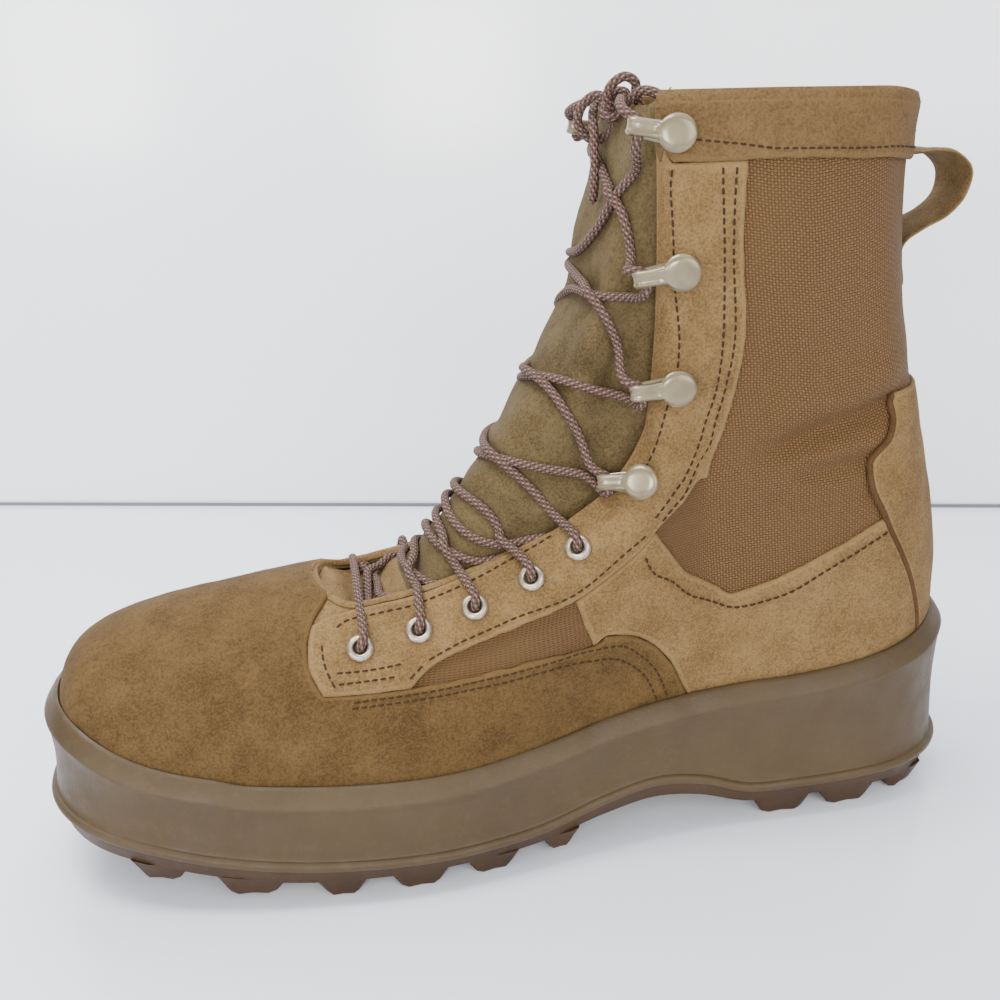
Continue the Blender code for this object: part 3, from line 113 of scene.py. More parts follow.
# Ribs of the upper, outer side: share round the half outline (0 toe, 1 heel); rise and bulge of the low
# handle; hx, hy, hz of the high handle; tx, ty, tz of the top, of LENGTH, BALL_HALF and COLLAR_HEIGHT
RIBS = [
    (0.000, 0.130, 0.10, 0.100, 0.00, 0.350, 0.288, 0.00, 0.385),
    (0.055, 0.128, 0.10, 0.115, 0.12, 0.350, 0.289, 0.08, 0.384),
    (0.115, 0.125, 0.08, 0.155, 0.30, 0.350, 0.292, 0.16, 0.381),
    (0.185, 0.120, 0.05, 0.210, 0.52, 0.350, 0.298, 0.24, 0.376),
    (0.270, 0.110, 0.04, 0.276, 0.66, 0.330, 0.323, 0.36, 0.364),
    (0.360, 0.105, 0.03, 0.364, 0.72, 0.338, 0.394, 0.38, 0.380),
    (0.440, 0.105, 0.03, 0.463, 0.74, 0.372, 0.475, 0.39, 0.419),
    (0.520, 0.110, 0.03, 0.552, 0.78, 0.435, 0.560, 0.50, 0.484),
    (0.590, 0.140, 0.00, 0.622, 0.82, 0.520, 0.621, 0.55, 0.620),
    (0.645, 0.200, -0.02, 0.643, 0.82, 0.660, 0.626, 0.56, 0.780),
    (0.690, 0.270, -0.06, 0.636, 0.84, 0.780, 0.622, 0.60, 1.000),
    (0.775, 0.270, -0.05, 0.724, 0.88, 0.780, 0.739, 0.74, 1.000),
    (0.865, 0.250, 0.02, 0.815, 0.82, 0.730, 0.834, 0.66, 1.000),
    (0.940, 0.240, 0.11, 0.856, 0.46, 0.670, 0.891, 0.36, 0.993),
    (1.000, 0.240, 0.17, 0.863, 0.00, 0.650, 0.906, 0.00, 0.990),
]

# Edges of the laid-on panels, outer side, as runs of (share round the half outline, share up the rib).
# A run is one smooth curve, runs meet in corners, and they reach from FOOT up to LIP
FOOT = 0.004
LIP = 0.990
VAMP_SEAM = [(0.660, FOOT), (0.637, 0.139), (0.600, 0.280), (0.562, 0.372)]
VAMP_TOP_SEAM = [(0.562, 0.372), (0.552, 0.362), (0.478, 0.444), (0.379, 0.480), (0.300, 0.480)]
TAB_FRONT = [(0.300, 0.480), (0.278, 0.590), (0.236, 0.830)]
VAMP_LIP = [(0.236, 0.830), (0.214, 0.950), (0.200, LIP)]
EYESTAY_LIP = [
    (0.236, 0.830), (0.250, 0.905), (0.290, 0.950), (0.345, 0.950), (0.410, 0.965), (0.470, LIP),
]
FACING_LIP = [(0.470, LIP), (0.560, LIP), (0.610, LIP), (0.674, LIP)]
BAND_FRONT = [(0.674, LIP), (0.676, 0.940), (0.698, 0.886)]
BAND_FOOT = [(0.698, 0.886), (0.748, 0.888)]
FACING_REAR = [(0.748, 0.888), (0.742, 0.749), (0.737, 0.610), (0.715, 0.486), (0.684, 0.398)]
FACING_FOOT = [(0.684, 0.398), (0.642, 0.475), (0.607, 0.544)]
EYESTAY_FOOT = [
    (0.607, 0.544), (0.561, 0.587), (0.520, 0.592), (0.469, 0.606), (0.430, 0.598), (0.396, 0.568),
    (0.379, 0.480),
]
VENT_REAR = [(0.520, 0.592), (0.552, 0.362)]
SHAFT_FOOT = [
    (0.607, 0.544), (0.637, 0.386), (0.660, 0.280), (0.690, 0.206), (0.717, 0.197), (0.793, 0.243),
    (0.856, 0.301),
]
BACKSTAY_SEAM = [(0.912, FOOT), (0.894, 0.139), (0.874, 0.228), (0.856, 0.301)]
BACKSTAY_SHOULDER = [(0.856, 0.301), (0.840, 0.390), (0.868, 0.470), (0.884, 0.533)]
BACKSTAY_TOP = [(0.884, 0.533), (0.940, 0.560), (1.000, 0.566)]
BAND_REST = [(0.748, 0.888), (0.837, 0.896), (0.950, 0.920), (1.000, 0.922)]
# Middle line of the tongue: share of the throat beside it, x of LENGTH, z of COLLAR_HEIGHT
TONGUE_LINE = [
    (0.185, 0.291, 0.362),
    (0.270, 0.336, 0.346),
    (0.360, 0.384, 0.383),
    (0.440, 0.426, 0.460),
    (0.520, 0.471, 0.549),
    (0.590, 0.516, 0.644),
    (0.645, 0.562, 0.751),
    (0.690, 0.608, 0.968),
]
# Eyelets and hooks, outer side: share round the half outline and share up the rib,
# and the share of the throat's edge that each hook points at
EYELETS = [(0.318, 0.703), (0.372, 0.745), (0.421, 0.768), (0.472, 0.792), (0.514, 0.815)]
HOOKS = [(0.579, 0.799), (0.648, 0.714), (0.682, 0.734), (0.707, 0.931)]
HOOK_TIPS = [0.544, 0.602, 0.648, 0.675]
# Free lace over the collar's front: x of LENGTH, y of BALL_HALF, z of COLLAR_HEIGHT
LACE_BOW = [
    (0.603, -0.09, 0.976), (0.594, -0.13, 0.998), (0.597, -0.19, 1.014), (0.607, -0.23, 1.022),
    (0.617, -0.23, 1.015), (0.619, -0.20, 1.002), (0.6235, -0.196, 0.987), (0.6255, -0.192, 0.974),
]
LACE_TUCKED_END = [
    (0.607, -0.28, 0.991), (0.616, -0.34, 1.004), (0.629, -0.42, 1.000), (0.638, -0.46, 0.984),
    (0.638, -0.47, 0.955), (0.637, -0.47, 0.925),
]
LACE_HANGING_END = [
    (0.594, 0.14, 0.990), (0.588, 0.05, 0.978), (0.586, -0.03, 0.958), (0.585, -0.07, 0.930),
    (0.584, -0.09, 0.900), (0.582, -0.09, 0.868),
]
# Lugs along both edges of the sole and across it, each from one share of LENGTH to another
LUGS = [
    (0.085, 0.130), (0.172, 0.226), (0.270, 0.308), (0.345, 0.393), (0.425, 0.470), (0.508, 0.535),
    (0.750, 0.805), (0.829, 0.886), (0.919, 0.960),
]

SIDES = ("outer", "inner")


def arc_along(points):
    """Distance of each point along its polyline."""
    return np.append(0, np.cumsum(np.linalg.norm(np.diff(points, axis=0), axis=1)))


def unit(vectors):
    """Vectors scaled to length 1 along their last axis."""
    return vectors / np.maximum(np.linalg.norm(vectors, axis=-1, keepdims=True), 1e-12)


def cubic(t):
    """A smooth step's share of its far value, and its shares of the slopes at its start and its end."""
    return 3 * t ** 2 - 2 * t ** 3, t - 2 * t ** 2 + t ** 3, t ** 3 - t ** 2


def ring_spline(knots, values, at):
    """Periodic cubic spline of period 1 through the values at the knots, read at the places given."""
    knots = np.asarray(knots, float)
    values = np.asarray(values, float).reshape(len(knots), -1)
    count = len(knots)
    step = np.diff(np.append(knots, knots[0] + 1.0))
    system = np.zeros((count, count))
    right = np.zeros_like(values)
    for i in range(count):
        before = (i - 1) % count
        after = (i + 1) % count
        system[i, before] += step[before]
        system[i, i] += 2 * (step[before] + step[i])
        system[i, after] += step[i]
        rise = (values[after] - values[i]) / step[i]
        fall = (values[i] - values[before]) / step[before]
        right[i] = 6 * (rise - fall)
    bend = np.linalg.solve(system, right)
    place = knots[0] + np.mod(np.asarray(at, float) - knots[0], 1.0)
    index = np.clip(np.searchsorted(knots, place, side="right") - 1, 0, count - 1)
    after = (index + 1) % count
    width = step[index][:, None]
    far = (place - knots[index])[:, None] / width
    near = 1 - far
    curve = near * values[index] + far * values[after]
    curve += width ** 2 / 6 * ((near ** 3 - near) * bend[index] + (far ** 3 - far) * bend[after])
    return curve


def ring_blend(knots, values, at):
    """Like ring_spline, but it never swings past its values, so a corner stays a corner."""
    knots = np.asarray(knots, float)
    values = np.asarray(values, float)
    count = len(knots)
    step = np.diff(np.append(knots, knots[0] + 1.0))[:, None]
    rise = (np.roll(values, -1, axis=0) - values) / step
    before = np.roll(rise, 1, axis=0)
    width = np.roll(step, 1, axis=0)
    early = 2 * step + width
    late = step + 2 * width
    same = before * rise > 0
    safe_before = np.where(same, before, 1)
    safe_rise = np.where(same, rise, 1)
    slope = np.where(same, (early + late) / (early / safe_before + late / safe_rise), 0)
    place = knots[0] + np.mod(np.asarray(at, float) - knots[0], 1.0)
    index = np.clip(np.searchsorted(knots, place, side="right") - 1, 0, count - 1)
    after = (index + 1) % count
    span = step[index]
    far, leave, arrive = cubic((place - knots[index])[:, None] / span)
    change = values[after] - values[index]
    return values[index] + change * far + slope[index] * span * leave + slope[after] * span * arrive


def level(x, column):
    """Height of one line of the sole at x, read smoothly from SOLE_LEVELS."""
    table = np.array(SOLE_LEVELS)
    share = np.clip(np.asarray(x, float) / LENGTH, 0, 1)
    knots = table[:, 0]
    heights = table[:, column]
    slope = np.gradient(heights, knots)
    index = np.clip(np.searchsorted(knots, share, side="right") - 1, 0, len(knots) - 2)
    width = knots[index + 1] - knots[index]
    far, leave, arrive = cubic((share - knots[index]) / width)
    rise = heights[index + 1] - heights[index]
    flat = np.isclose(rise, 0)
    start = np.where(flat, 0, slope[index]) * width
    end = np.where(flat, 0, slope[index + 1]) * width
    height = heights[index] + rise * far + start * leave + end * arrive
    return np.maximum(height, 0) * COLLAR_HEIGHT


def outline_curve():
    """Fine closed outline of the sole: its points, and the share of arc that each point has."""
    points = np.array(OUTLINE) * (LENGTH, BALL_HALF)
    closed = np.vstack([points, points[:1]])
    chord = np.linalg.norm(np.diff(closed, axis=0), axis=1) ** 0.75
    knots = np.append(0, np.cumsum(chord))[:-1] / chord.sum()
    fine = 2400
    curve = ring_spline(knots, points, np.arange(fine) / fine)
    heel = int(np.argmax(curve[:, 0]))
    share = np.zeros(fine)
    for start, stop, low, high in ((0, heel, 0.0, 0.5), (heel, fine, 0.5, 1.0)):
        piece = curve[np.arange(start, stop + 1) % fine]
        arc = arc_along(piece)
        share[start:stop] = (low + (high - low) * arc / arc[-1])[:-1]
    return curve, share


CURVE, CURVE_SHARE = outline_curve()


def outline(q, inset=0.0):
    """Points of the outline at shares q (0 toe, 0.5 heel, outer side first), moved in by inset."""
    q = np.mod(np.asarray(q, float), 1.0)
    share = np.append(CURVE_SHARE, 1.0)
    closed = np.vstack([CURVE, CURVE[:1]])
    step = 0.004
    ahead = np.stack([np.interp(np.mod(q + step, 1), share, closed[:, k]) for k in (0, 1)], -1)
    behind = np.stack([np.interp(np.mod(q - step, 1), share, closed[:, k]) for k in (0, 1)], -1)
    here = np.stack([np.interp(q, share, closed[:, k]) for k in (0, 1)], -1)
    along = unit(ahead - behind)
    outward = np.stack([along[:, 1], -along[:, 0]], -1)
    middle = np.array([LENGTH / 2, 0.0])
    probe = np.sum(outward * (here - middle), axis=1)
    if np.sum(probe) < 0:
        outward = -outward
    return here - outward * inset, outward


def rib_values(q):
    """Handles and top of the rib at each share q of the full loop."""
    table = np.array(RIBS)
    outer = table.copy()
    outer[:, 0] = table[:, 0] / 2
    outer[:, 4] = -table[:, 4]
    outer[:, 7] = -table[:, 7]
    inner = table[-2:0:-1].copy()
    inner[:, 0] = 1 - table[-2:0:-1, 0] / 2
    loop = np.vstack([outer, inner])
    return ring_blend(loop[:, 0], loop[:, 1:], q)


def upper_point(q, u):
    """Outer face of the upper at share q round the outline and share u up the rib."""
    q = np.asarray(q, float)
    u = np.asarray(u, float)[:, None]
    foot, outward = outline(q, WELT_INSET)
    value = rib_values(q)
    start = np.column_stack([foot, level(foot[:, 0], 4) - WELT_DEPTH])
    low = start.copy()
    low[:, :2] += outward * (value[:, 1] * BALL_HALF)[:, None]
    low[:, 2] += value[:, 0] * COLLAR_HEIGHT
    high = value[:, 2:5] * (LENGTH, BALL_HALF, COLLAR_HEIGHT)
    top = value[:, 5:8] * (LENGTH, BALL_HALF, COLLAR_HEIGHT)
    v = 1 - u
    return v ** 3 * start + 3 * v ** 2 * u * low + 3 * v * u ** 2 * high + u ** 3 * top


def upper_normal(q, u):
    """Outward unit normal of the upper."""
    q = np.asarray(q, float)
    u = np.asarray(u, float)
    dq = 0.003
    du = 0.01
    around = upper_point(q + dq, u) - upper_point(q - dq, u)
    up = upper_point(q, np.minimum(u + du, 1)) - upper_point(q, np.maximum(u - du, 0))
    return unit(np.cross(around, up))


def loop_open(runs):
    """Smooth runs joined end to end, each given with a sign: -1 reads it backwards."""
    points = [smooth_run(run)[::sign] for run, sign in runs]
    return np.vstack([points[0]] + [curve[1:] for curve in points[1:]])


def to_side(runs, side):
    """Runs of the outer side as full-loop shares q, mirrored for the inner side."""
    return [([(side_q(side, share), u) for share, u in run], sign) for run, sign in runs]


def both_sides(runs, turn):
    """Closed loop over both sides of a run list that starts and ends on the middle line at share turn."""
    outer = loop_open(to_side(runs, "outer"))
    inner = outer[::-1].copy()
    inner[:, 0] = turn - inner[:, 0]
    return np.vstack([outer, inner[1:-1]])


def side_q(side, share):
    """Share q round the whole outline, from a share of the half outline on one side."""
    return share / 2 if side == "outer" else 1 - share / 2


def inside(points, outline_points):
    """Whether each 2D point lies inside the closed outline."""
    x = points[:, 0]
    y = points[:, 1]
    found = np.zeros(len(points), bool)
    x0, y0 = outline_points[-1]
    for x1, y1 in outline_points:
        crosses = (y0 > y) != (y1 > y)
        rise = np.where(y1 == y0, 1.0, y1 - y0)
        found ^= crosses & (x < (x1 - x0) * (y - y0) / rise + x0)
        x0, y0 = x1, y1
    return found


def edge_q(x, side):
    """Share q of the outline where it passes x, on one side."""
    half = np.linspace(0, 0.5, 600)
    q = half if side == "outer" else 1 - half
    points, _ = outline(q)
    return float(np.interp(x, points[:, 0], half if side == "outer" else -half)) % 1.0


# Creases and unevenness: troughs (below 0) and ridges, with their side, their run of
# (share, u), their height in metres and their half width in metres
CREASES = [
    ("outer", [(0.895, 0.535), (0.820, 0.471), (0.775, 0.440), (0.745, 0.420)], -0.0040, 0.0040),
    ("outer", [(0.895, 0.590), (0.830, 0.520), (0.770, 0.490), (0.740, 0.470)], 0.0020, 0.0065),
    ("outer", [(0.870, 0.465), (0.820, 0.425), (0.780, 0.408)], 0.0016, 0.0040),
    ("outer", [(0.850, 0.420), (0.805, 0.386), (0.770, 0.380)], -0.0022, 0.0034),
    ("outer", [(0.850, 0.350), (0.790, 0.320), (0.735, 0.340)], -0.0010, 0.0050),
    ("outer", [(0.740, 0.300), (0.700, 0.330), (0.680, 0.360)], -0.0008, 0.0045),
    ("inner", [(0.895, 0.540), (0.830, 0.490), (0.770, 0.450)], -0.0024, 0.0045),
    ("inner", [(0.880, 0.600), (0.820, 0.550), (0.760, 0.510)], 0.0012, 0.0070),
    ("inner", [(0.850, 0.400), (0.800, 0.370), (0.750, 0.380)], -0.0014, 0.0040),
    ("outer", [(0.230, 0.560), (0.170, 0.640), (0.090, 0.760)], -0.0007, 0.0060),
    ("inner", [(0.230, 0.560), (0.170, 0.640), (0.090, 0.760)], -0.0007, 0.0060),
    ("outer", [(0.640, 0.450), (0.600, 0.500), (0.560, 0.520)], -0.0007, 0.0050),
]


def smooth_run(run, step=0.004):
    """Points along a run of chosen points, on a smooth curve through them."""
    run = np.array(run, float)
    padded = np.vstack([2 * run[0] - run[1], run, 2 * run[-1] - run[-2]])
    points = []
    for i in range(1, len(padded) - 2):
        p0, p1, p2, p3 = padded[i - 1:i + 3]
        parts = max(1, int(np.ceil(np.linalg.norm((p2 - p1) * (1.0, 0.5)) / step)))
        for t in np.arange(parts) / parts:
            bend = (2 * p0 - 5 * p1 + 4 * p2 - p3) * t * t + (3 * p1 - p0 - 3 * p2 + p3) * t ** 3
            points.append(0.5 * (2 * p1 + (p2 - p0) * t + bend))
    points.append(padded[-2])
    return np.array(points)


def side_run(side, run):
    """A smooth run on one side, as (q, u) points."""
    curve = smooth_run(run)
    curve[:, 0] = side_q(side, curve[:, 0])
    return curve


CREASE_LINES = []
for crease_side, crease_run, crease_height, crease_width in CREASES:
    crease_curve = side_run(crease_side, crease_run)
    CREASE_LINES.append((upper_point(crease_curve[:, 0], crease_curve[:, 1]), crease_height, crease_width))


def line_distance(points, line):
    """Distance of each point from a polyline, and the share along it of the nearest place."""
    best = np.full(len(points), 1e9)
    share = np.zeros(len(points))
    count = len(line) - 1
    for k in range(count):
        a = line[k]
        ab = line[k + 1] - a
        t = np.clip((points - a) @ ab / max(float(ab @ ab), 1e-15), 0, 1)
        gap = np.linalg.norm(points - a - t[:, None] * ab, axis=1)
        nearer = gap < best
        best = np.where(nearer, gap, best)
        share = np.where(nearer, (k + t) / count, share)
    return best, share


# Waves of the unevenness, three for each length in metres: direction, phase, length
WAVES = np.random.default_rng(7)
WAVE_LENGTHS = (0.052, 0.038, 0.027, 0.019, 0.014, 0.010)
WAVE_SET = []
for wave_length in WAVE_LENGTHS:
    for _ in range(3):
        way = WAVES.normal(size=3)
        WAVE_SET.append((unit(way) * 2 * math.pi / wave_length, WAVES.uniform(0, 6.28), wave_length))

# Height of the unevenness of suede, of the woven shell and of the tongue
SUEDE_UNEVEN = 0.00035
SHELL_UNEVEN = 0.0003
TONGUE_UNEVEN = 0.0004
# How far around a crease's middle its height still counts
CREASE_REACH = 0.08


def unevenness(points):
    """Soft random waviness, about -1 to 1."""
    total = np.zeros(len(points))
    for way, phase, length in WAVE_SET:
        total += np.sin(points @ way + phase) * (length / 0.05) ** 0.8
    return total / 4


def relief(points, rough=SUEDE_UNEVEN):
    """Height of creases and unevenness at points of the upper."""
    height = unevenness(points) * rough
    for line, depth, width in CREASE_LINES:
        near = np.linalg.norm(points - line.mean(axis=0), axis=1) < CREASE_REACH
        if near.any():
            gap, share = line_distance(points[near], line)
            taper = np.clip(np.minimum(share, 1 - share) * 5 + 0.35, 0, 1)
            height[near] += depth * np.exp(-(gap / width) ** 2) * taper
    return height


def skin(q, u, offset):
    """Point of the dressed upper, offset outwards from its textile face."""
    base = upper_point(q, u)
    normal = upper_normal(q, u)
    return base + normal * (offset + relief(base))[:, None]


def make(name, verts, faces, materials, smooth=40, uv=None, values=None, kinds=None, stands_for=()):
    """One mesh piece in the row frame, riding on the root."""
    mesh = bpy.data.meshes.new(name)
    placed = np.asarray(verts, float) + SHIFT
    mesh.from_pydata(placed.tolist(), [], [tuple(int(i) for i in f) for f in faces])
    mesh.shade_smooth()
    mesh.set_sharp_from_angle(angle=math.radians(smooth))
    if uv is not None:
        layer = mesh.uv_layers.new(name="UVMap")
        corner = np.zeros(len(mesh.loops), dtype=np.int32)
        mesh.loops.foreach_get("vertex_index", corner)
        layer.data.foreach_set("uv", np.asarray(uv, np.float32)[corner].ravel())
    for key, value in (values or {}).items():
        layer = mesh.attributes.new(key, "FLOAT", "POINT")
        layer.data.foreach_set("value", np.asarray(value, np.float32))
    item = bpy.data.objects.new(name, mesh)
    bpy.context.collection.objects.link(item)
    for material in materials if isinstance(materials, (list, tuple)) else [materials]:
        mesh.materials.append(material)
    if kinds is not None:
        mesh.polygons.foreach_set("material_index", np.asarray(kinds, np.int32))
    if stands_for:
        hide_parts(*stands_for)
    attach(item, "root")
    return item


def grid_faces(rows, columns, closed=False, start=0, flip=False):
    """Quads of a grid of rows by columns, closed round the columns or not."""
    faces = []
    for i in range(rows - 1):
        for j in range(columns if closed else columns - 1):
            after = (j + 1) % columns
            a = start + i * columns + j
            b = start + i * columns + after
            quad = (a, b, b + columns, a + columns)
            faces.append(quad[::-1] if flip else quad)
    return faces


class Heap:
    """Collects many small pieces into one mesh."""

    def __init__(self):
        self.verts = []
        self.faces = []
        self.uv = []
        self.count = 0

    def add(self, verts, faces, uv=None):
        """Take in one more piece."""
        self.verts.append(np.asarray(verts, float))
        self.faces.extend(tuple(i + self.count for i in f) for f in faces)
        self.uv.append(np.zeros((len(verts), 2)) if uv is None else np.asarray(uv, float))
        self.count += len(verts)

    def make(self, name, material, slot, smooth=60, stands_for=()):
        """Turn everything taken in into one mesh piece."""
        return make(name, np.vstack(self.verts), self.faces, material, smooth, np.vstack(self.uv),
                    stands_for=stands_for)


def even(line, step):
    """A polyline read again at even steps."""
    line = np.asarray(line, float)
    arc = arc_along(line)
    count = max(2, int(round(arc[-1] / step)) + 1)
    at = np.linspace(0, arc[-1], count)
    return np.column_stack([np.interp(at, arc, line[:, k]) for k in range(line.shape[1])])


def curve_through(points, step):
    """Even points on a smooth curve through 3D points."""
    points = np.asarray(points, float)
    padded = np.vstack([2 * points[0] - points[1], points, 2 * points[-1] - points[-2]])
    fine = []
    for i in range(1, len(padded) - 2):
        p0, p1, p2, p3 = padded[i - 1:i + 3]
        d1 = max(np.linalg.norm(p1 - p0), 1e-6) ** 0.5
        d2 = max(np.linalg.norm(p2 - p1), 1e-6) ** 0.5
        d3 = max(np.linalg.norm(p3 - p2), 1e-6) ** 0.5
        m1 = (p2 - p1) + d2 * ((p1 - p0) / d1 - (p2 - p0) / (d1 + d2))
        m2 = (p2 - p1) + d2 * ((p3 - p2) / d3 - (p3 - p1) / (d2 + d3))
        for t in np.arange(16) / 16:
            far, leave, arrive = cubic(t)
            fine.append(p1 + (p2 - p1) * far + m1 * leave + m2 * arrive)
    fine.append(points[-1])
    return even(fine, step)


def tube(points, radius, sides=12, ends=True):
    """Round tube along points with rounded ends; UVs are turns round it and metres along it."""
    points = np.asarray(points, float)
    ahead = unit(np.gradient(points, axis=0))
    side = np.cross(ahead[0], (0.3, 0.5, 0.8))
    verts = []
    uv = []
    arc = arc_along(points)
    for place, along, run in zip(points, ahead, arc):
        side = unit(side - along * np.dot(side, along))
        across = np.cross(along, side)
        close = min(run, arc[-1] - run)
        size = radius * (math.sqrt(max(0.02, 1 - (1 - min(close / radius, 1)) ** 2)) if ends else 1)
        for k in range(sides + 1):
            angle = 2 * math.pi * k / sides
            verts.append(place + (side * math.cos(angle) + across * math.sin(angle)) * size)
            uv.append((k / sides, run))
    faces = grid_faces(len(points), sides + 1)
    first = len(verts)
    verts += [points[0], points[-1]]
    uv += [(0, 0), (0, arc[-1])]
    last = (len(points) - 1) * (sides + 1)
    for k in range(sides):
        faces.append((k + 1, k, first))
        faces.append((last + k, last + k + 1, first + 1))
    return verts, faces, uv


def shrink(loop, margin):
    """Move a closed (q, u) outline inwards by a margin in metres."""
    q, u = loop.T
    step = 0.002
    dq = (upper_point(q + step, u) - upper_point(q - step, u)) / (2 * step)
    du = (upper_point(q, u + step) - upper_point(q, u - step)) / (2 * step)
    size_q = np.maximum(np.linalg.norm(dq, axis=1), 0.02)
    size_u = np.maximum(np.linalg.norm(du, axis=1), 0.03)
    flat = np.column_stack([np.roll(q, -1) - np.roll(q, 1), np.roll(u, -1) - np.roll(u, 1)])
    along = unit(flat * np.column_stack([size_q, size_u]))
    side = 1.0 if np.sum(q * np.roll(u, -1) - np.roll(q, -1) * u) > 0 else -1.0
    return loop + np.column_stack([-along[:, 1] / size_q, along[:, 0] / size_u]) * margin * side


def even_loop(loop, step):
    """A closed (q, u) outline read again at even 3D steps."""
    closed = np.vstack([loop, loop[:1]])
    arc = arc_along(upper_point(closed[:, 0], closed[:, 1]))
    count = int(arc[-1] / step)
    at = np.arange(count) / count * arc[-1]
    return np.column_stack([np.interp(at, arc, closed[:, k]) for k in range(2)])


# A panel's raw edge: how far in its round and its flat top start, how deep its foot sinks, how it frays
EDGE_ROUND = 0.00035
EDGE_TOP = 0.0011
EDGE_SINK = 0.0004
EDGE_FRAY = 0.00025
# Values of the edge attribute, in millimetres from the edge: flat top at most, side and foot
EDGE_FAR = 12
# The side and foot values darken the suede into painted shadow along the edge
EDGE_SIDE = -0.5
EDGE_FOOT = -1.6
ROW_SAMPLES = 900


def fill_points(inner, limit, step):
    """Staggered rows of (q, u) points an even step apart on the upper, kept inside a limit outline."""
    low, high = inner[:, 0].min(), inner[:, 0].max()
    u_low, u_high = inner[:, 1].min(), inner[:, 1].max()
    centre = upper_point(np.full(60, (low + high) / 2), np.linspace(u_low, u_high, 60))
    rows = max(3, int(np.linalg.norm(np.diff(centre, axis=0), axis=1).sum() / step))
    q = np.linspace(low, high, ROW_SAMPLES)
    cloud = []
    for number in range(1, rows):
        u = u_low + (u_high - u_low) * number / rows
        arc = arc_along(upper_point(q, np.full(ROW_SAMPLES, u)))
        at = np.arange(step * (0.25 + 0.5 * (number % 2)), arc[-1], step)
        cloud.append(np.column_stack([np.interp(at, arc, q), np.full(len(at), u)]))
    cloud = np.vstack(cloud)
    return cloud[inside(cloud, limit)]


def triangles(inner, cloud):
    """Points and triangles that fill an outline, its own points first."""
    points = [Vector(p) for p in inner] + [Vector(p) for p in cloud]
    edges = [(i, (i + 1) % len(inner)) for i in range(len(inner))]
    flat, _, faces, *_ = delaunay_2d_cdt(points, edges, [], 0, 1e-9)
    flat = np.array([tuple(p) for p in flat])
    middle = np.array([flat[list(f)].mean(axis=0) for f in faces])
    return flat, np.array([f for f, found in zip(faces, inside(middle, inner)) if found])


def edge_faces(kept, n, start):
    """Quads from the flat top's outline down over the edge's three rings."""
    used = set()
    for f in kept:
        used.update((int(a), int(b)) for a, b in zip(f, (f[1], f[2], f[0])))
    ahead = sum((i, (i + 1) % n) in used for i in range(n)) > n / 2
    faces = []
    for i in range(n):
        j = (i + 1) % n
        rings = [(i, j)] + [(start + k * n + i, start + k * n + j) for k in range(3)]
        for (a, b), (c, d) in zip(rings, rings[1:]):
            faces.append((b, a, c, d) if ahead else (a, b, d, c))
    return faces


def patch(name, loop, material, base, stands_for, thick=OVERLAY, step=0.0021, fray=EDGE_FRAY):
    """A laid-on leather panel with a rounded, slightly frayed raw edge."""
    loop = even_loop(loop, step * 0.75)
    jitter = np.random.default_rng(len(name) * 31 + int(loop[0, 0] * 1000))
    wobble = np.convolve(jitter.normal(size=len(loop)), np.ones(3) / 3, "same") * fray
    outer = loop + (shrink(loop, 0.001) - loop) * (wobble / 0.001)[:, None]
    mid = shrink(loop, EDGE_ROUND)
    inner = shrink(loop, EDGE_TOP)
    flat, kept = triangles(inner, fill_points(inner, shrink(loop, EDGE_TOP + step * 0.5), step))
    top = skin(flat[:, 0], flat[:, 1], base + thick)
    normal = upper_normal(flat[:, 0], flat[:, 1])
    corner = top[kept]
    turn = np.cross(corner[:, 1] - corner[:, 0], corner[:, 2] - corner[:, 0])
    if np.einsum("ij,ij->i", turn, normal[kept[:, 0]]).sum() < 0:
        kept = kept[:, ::-1]
    n = len(inner)
    ring_mid = skin(mid[:, 0], mid[:, 1], base + thick * 0.78)
    ring_edge = skin(outer[:, 0], outer[:, 1], base + thick * 0.35)
    ring_foot = skin(outer[:, 0], outer[:, 1], base - EDGE_SINK)
    verts = np.vstack([top, ring_mid, ring_edge, ring_foot])
    faces = [tuple(f) for f in kept] + edge_faces(kept, n, len(flat))
    gap, _ = line_distance(top, np.vstack([top[:n], top[:1]]))
    edge = np.concatenate([np.minimum(gap * 1000, EDGE_FAR), np.zeros(n), np.full(n, EDGE_SIDE),
                           np.full(n, EDGE_FOOT)])
    where = np.vstack([flat, mid, outer, outer])
    uv = np.column_stack([where[:, 0] * 0.8, where[:, 1] * 0.2])
    return make(name, verts, faces, material, 50, uv, {"edge": edge}, stands_for=stands_for)


# One stitch: its radius, its share of the pitch and its height along it, in radii
STITCH_RADIUS = 0.00034
STITCH_COVER = 0.60
STITCH_ARCH = np.array([-0.4, 0.35, 0.6, 0.35, -0.4])


def stitch_row(heap, side, run, pitch, lift):
    """A row of single stitches along a run of (share, u), each sunk at its ends."""
    curve = side_run(side, run)
    arc = arc_along(upper_point(curve[:, 0], curve[:, 1]))
    count = int(arc[-1] / pitch)
    for k in range(count):
        at = (k + 0.5 + np.linspace(-0.5, 0.5, 5) * STITCH_COVER) * arc[-1] / count
        q = np.interp(at, arc, curve[:, 0])
        u = np.interp(at, arc, curve[:, 1])
        heap.add(*tube(skin(q, u, lift + STITCH_ARCH * STITCH_RADIUS), STITCH_RADIUS, 6, ends=False))


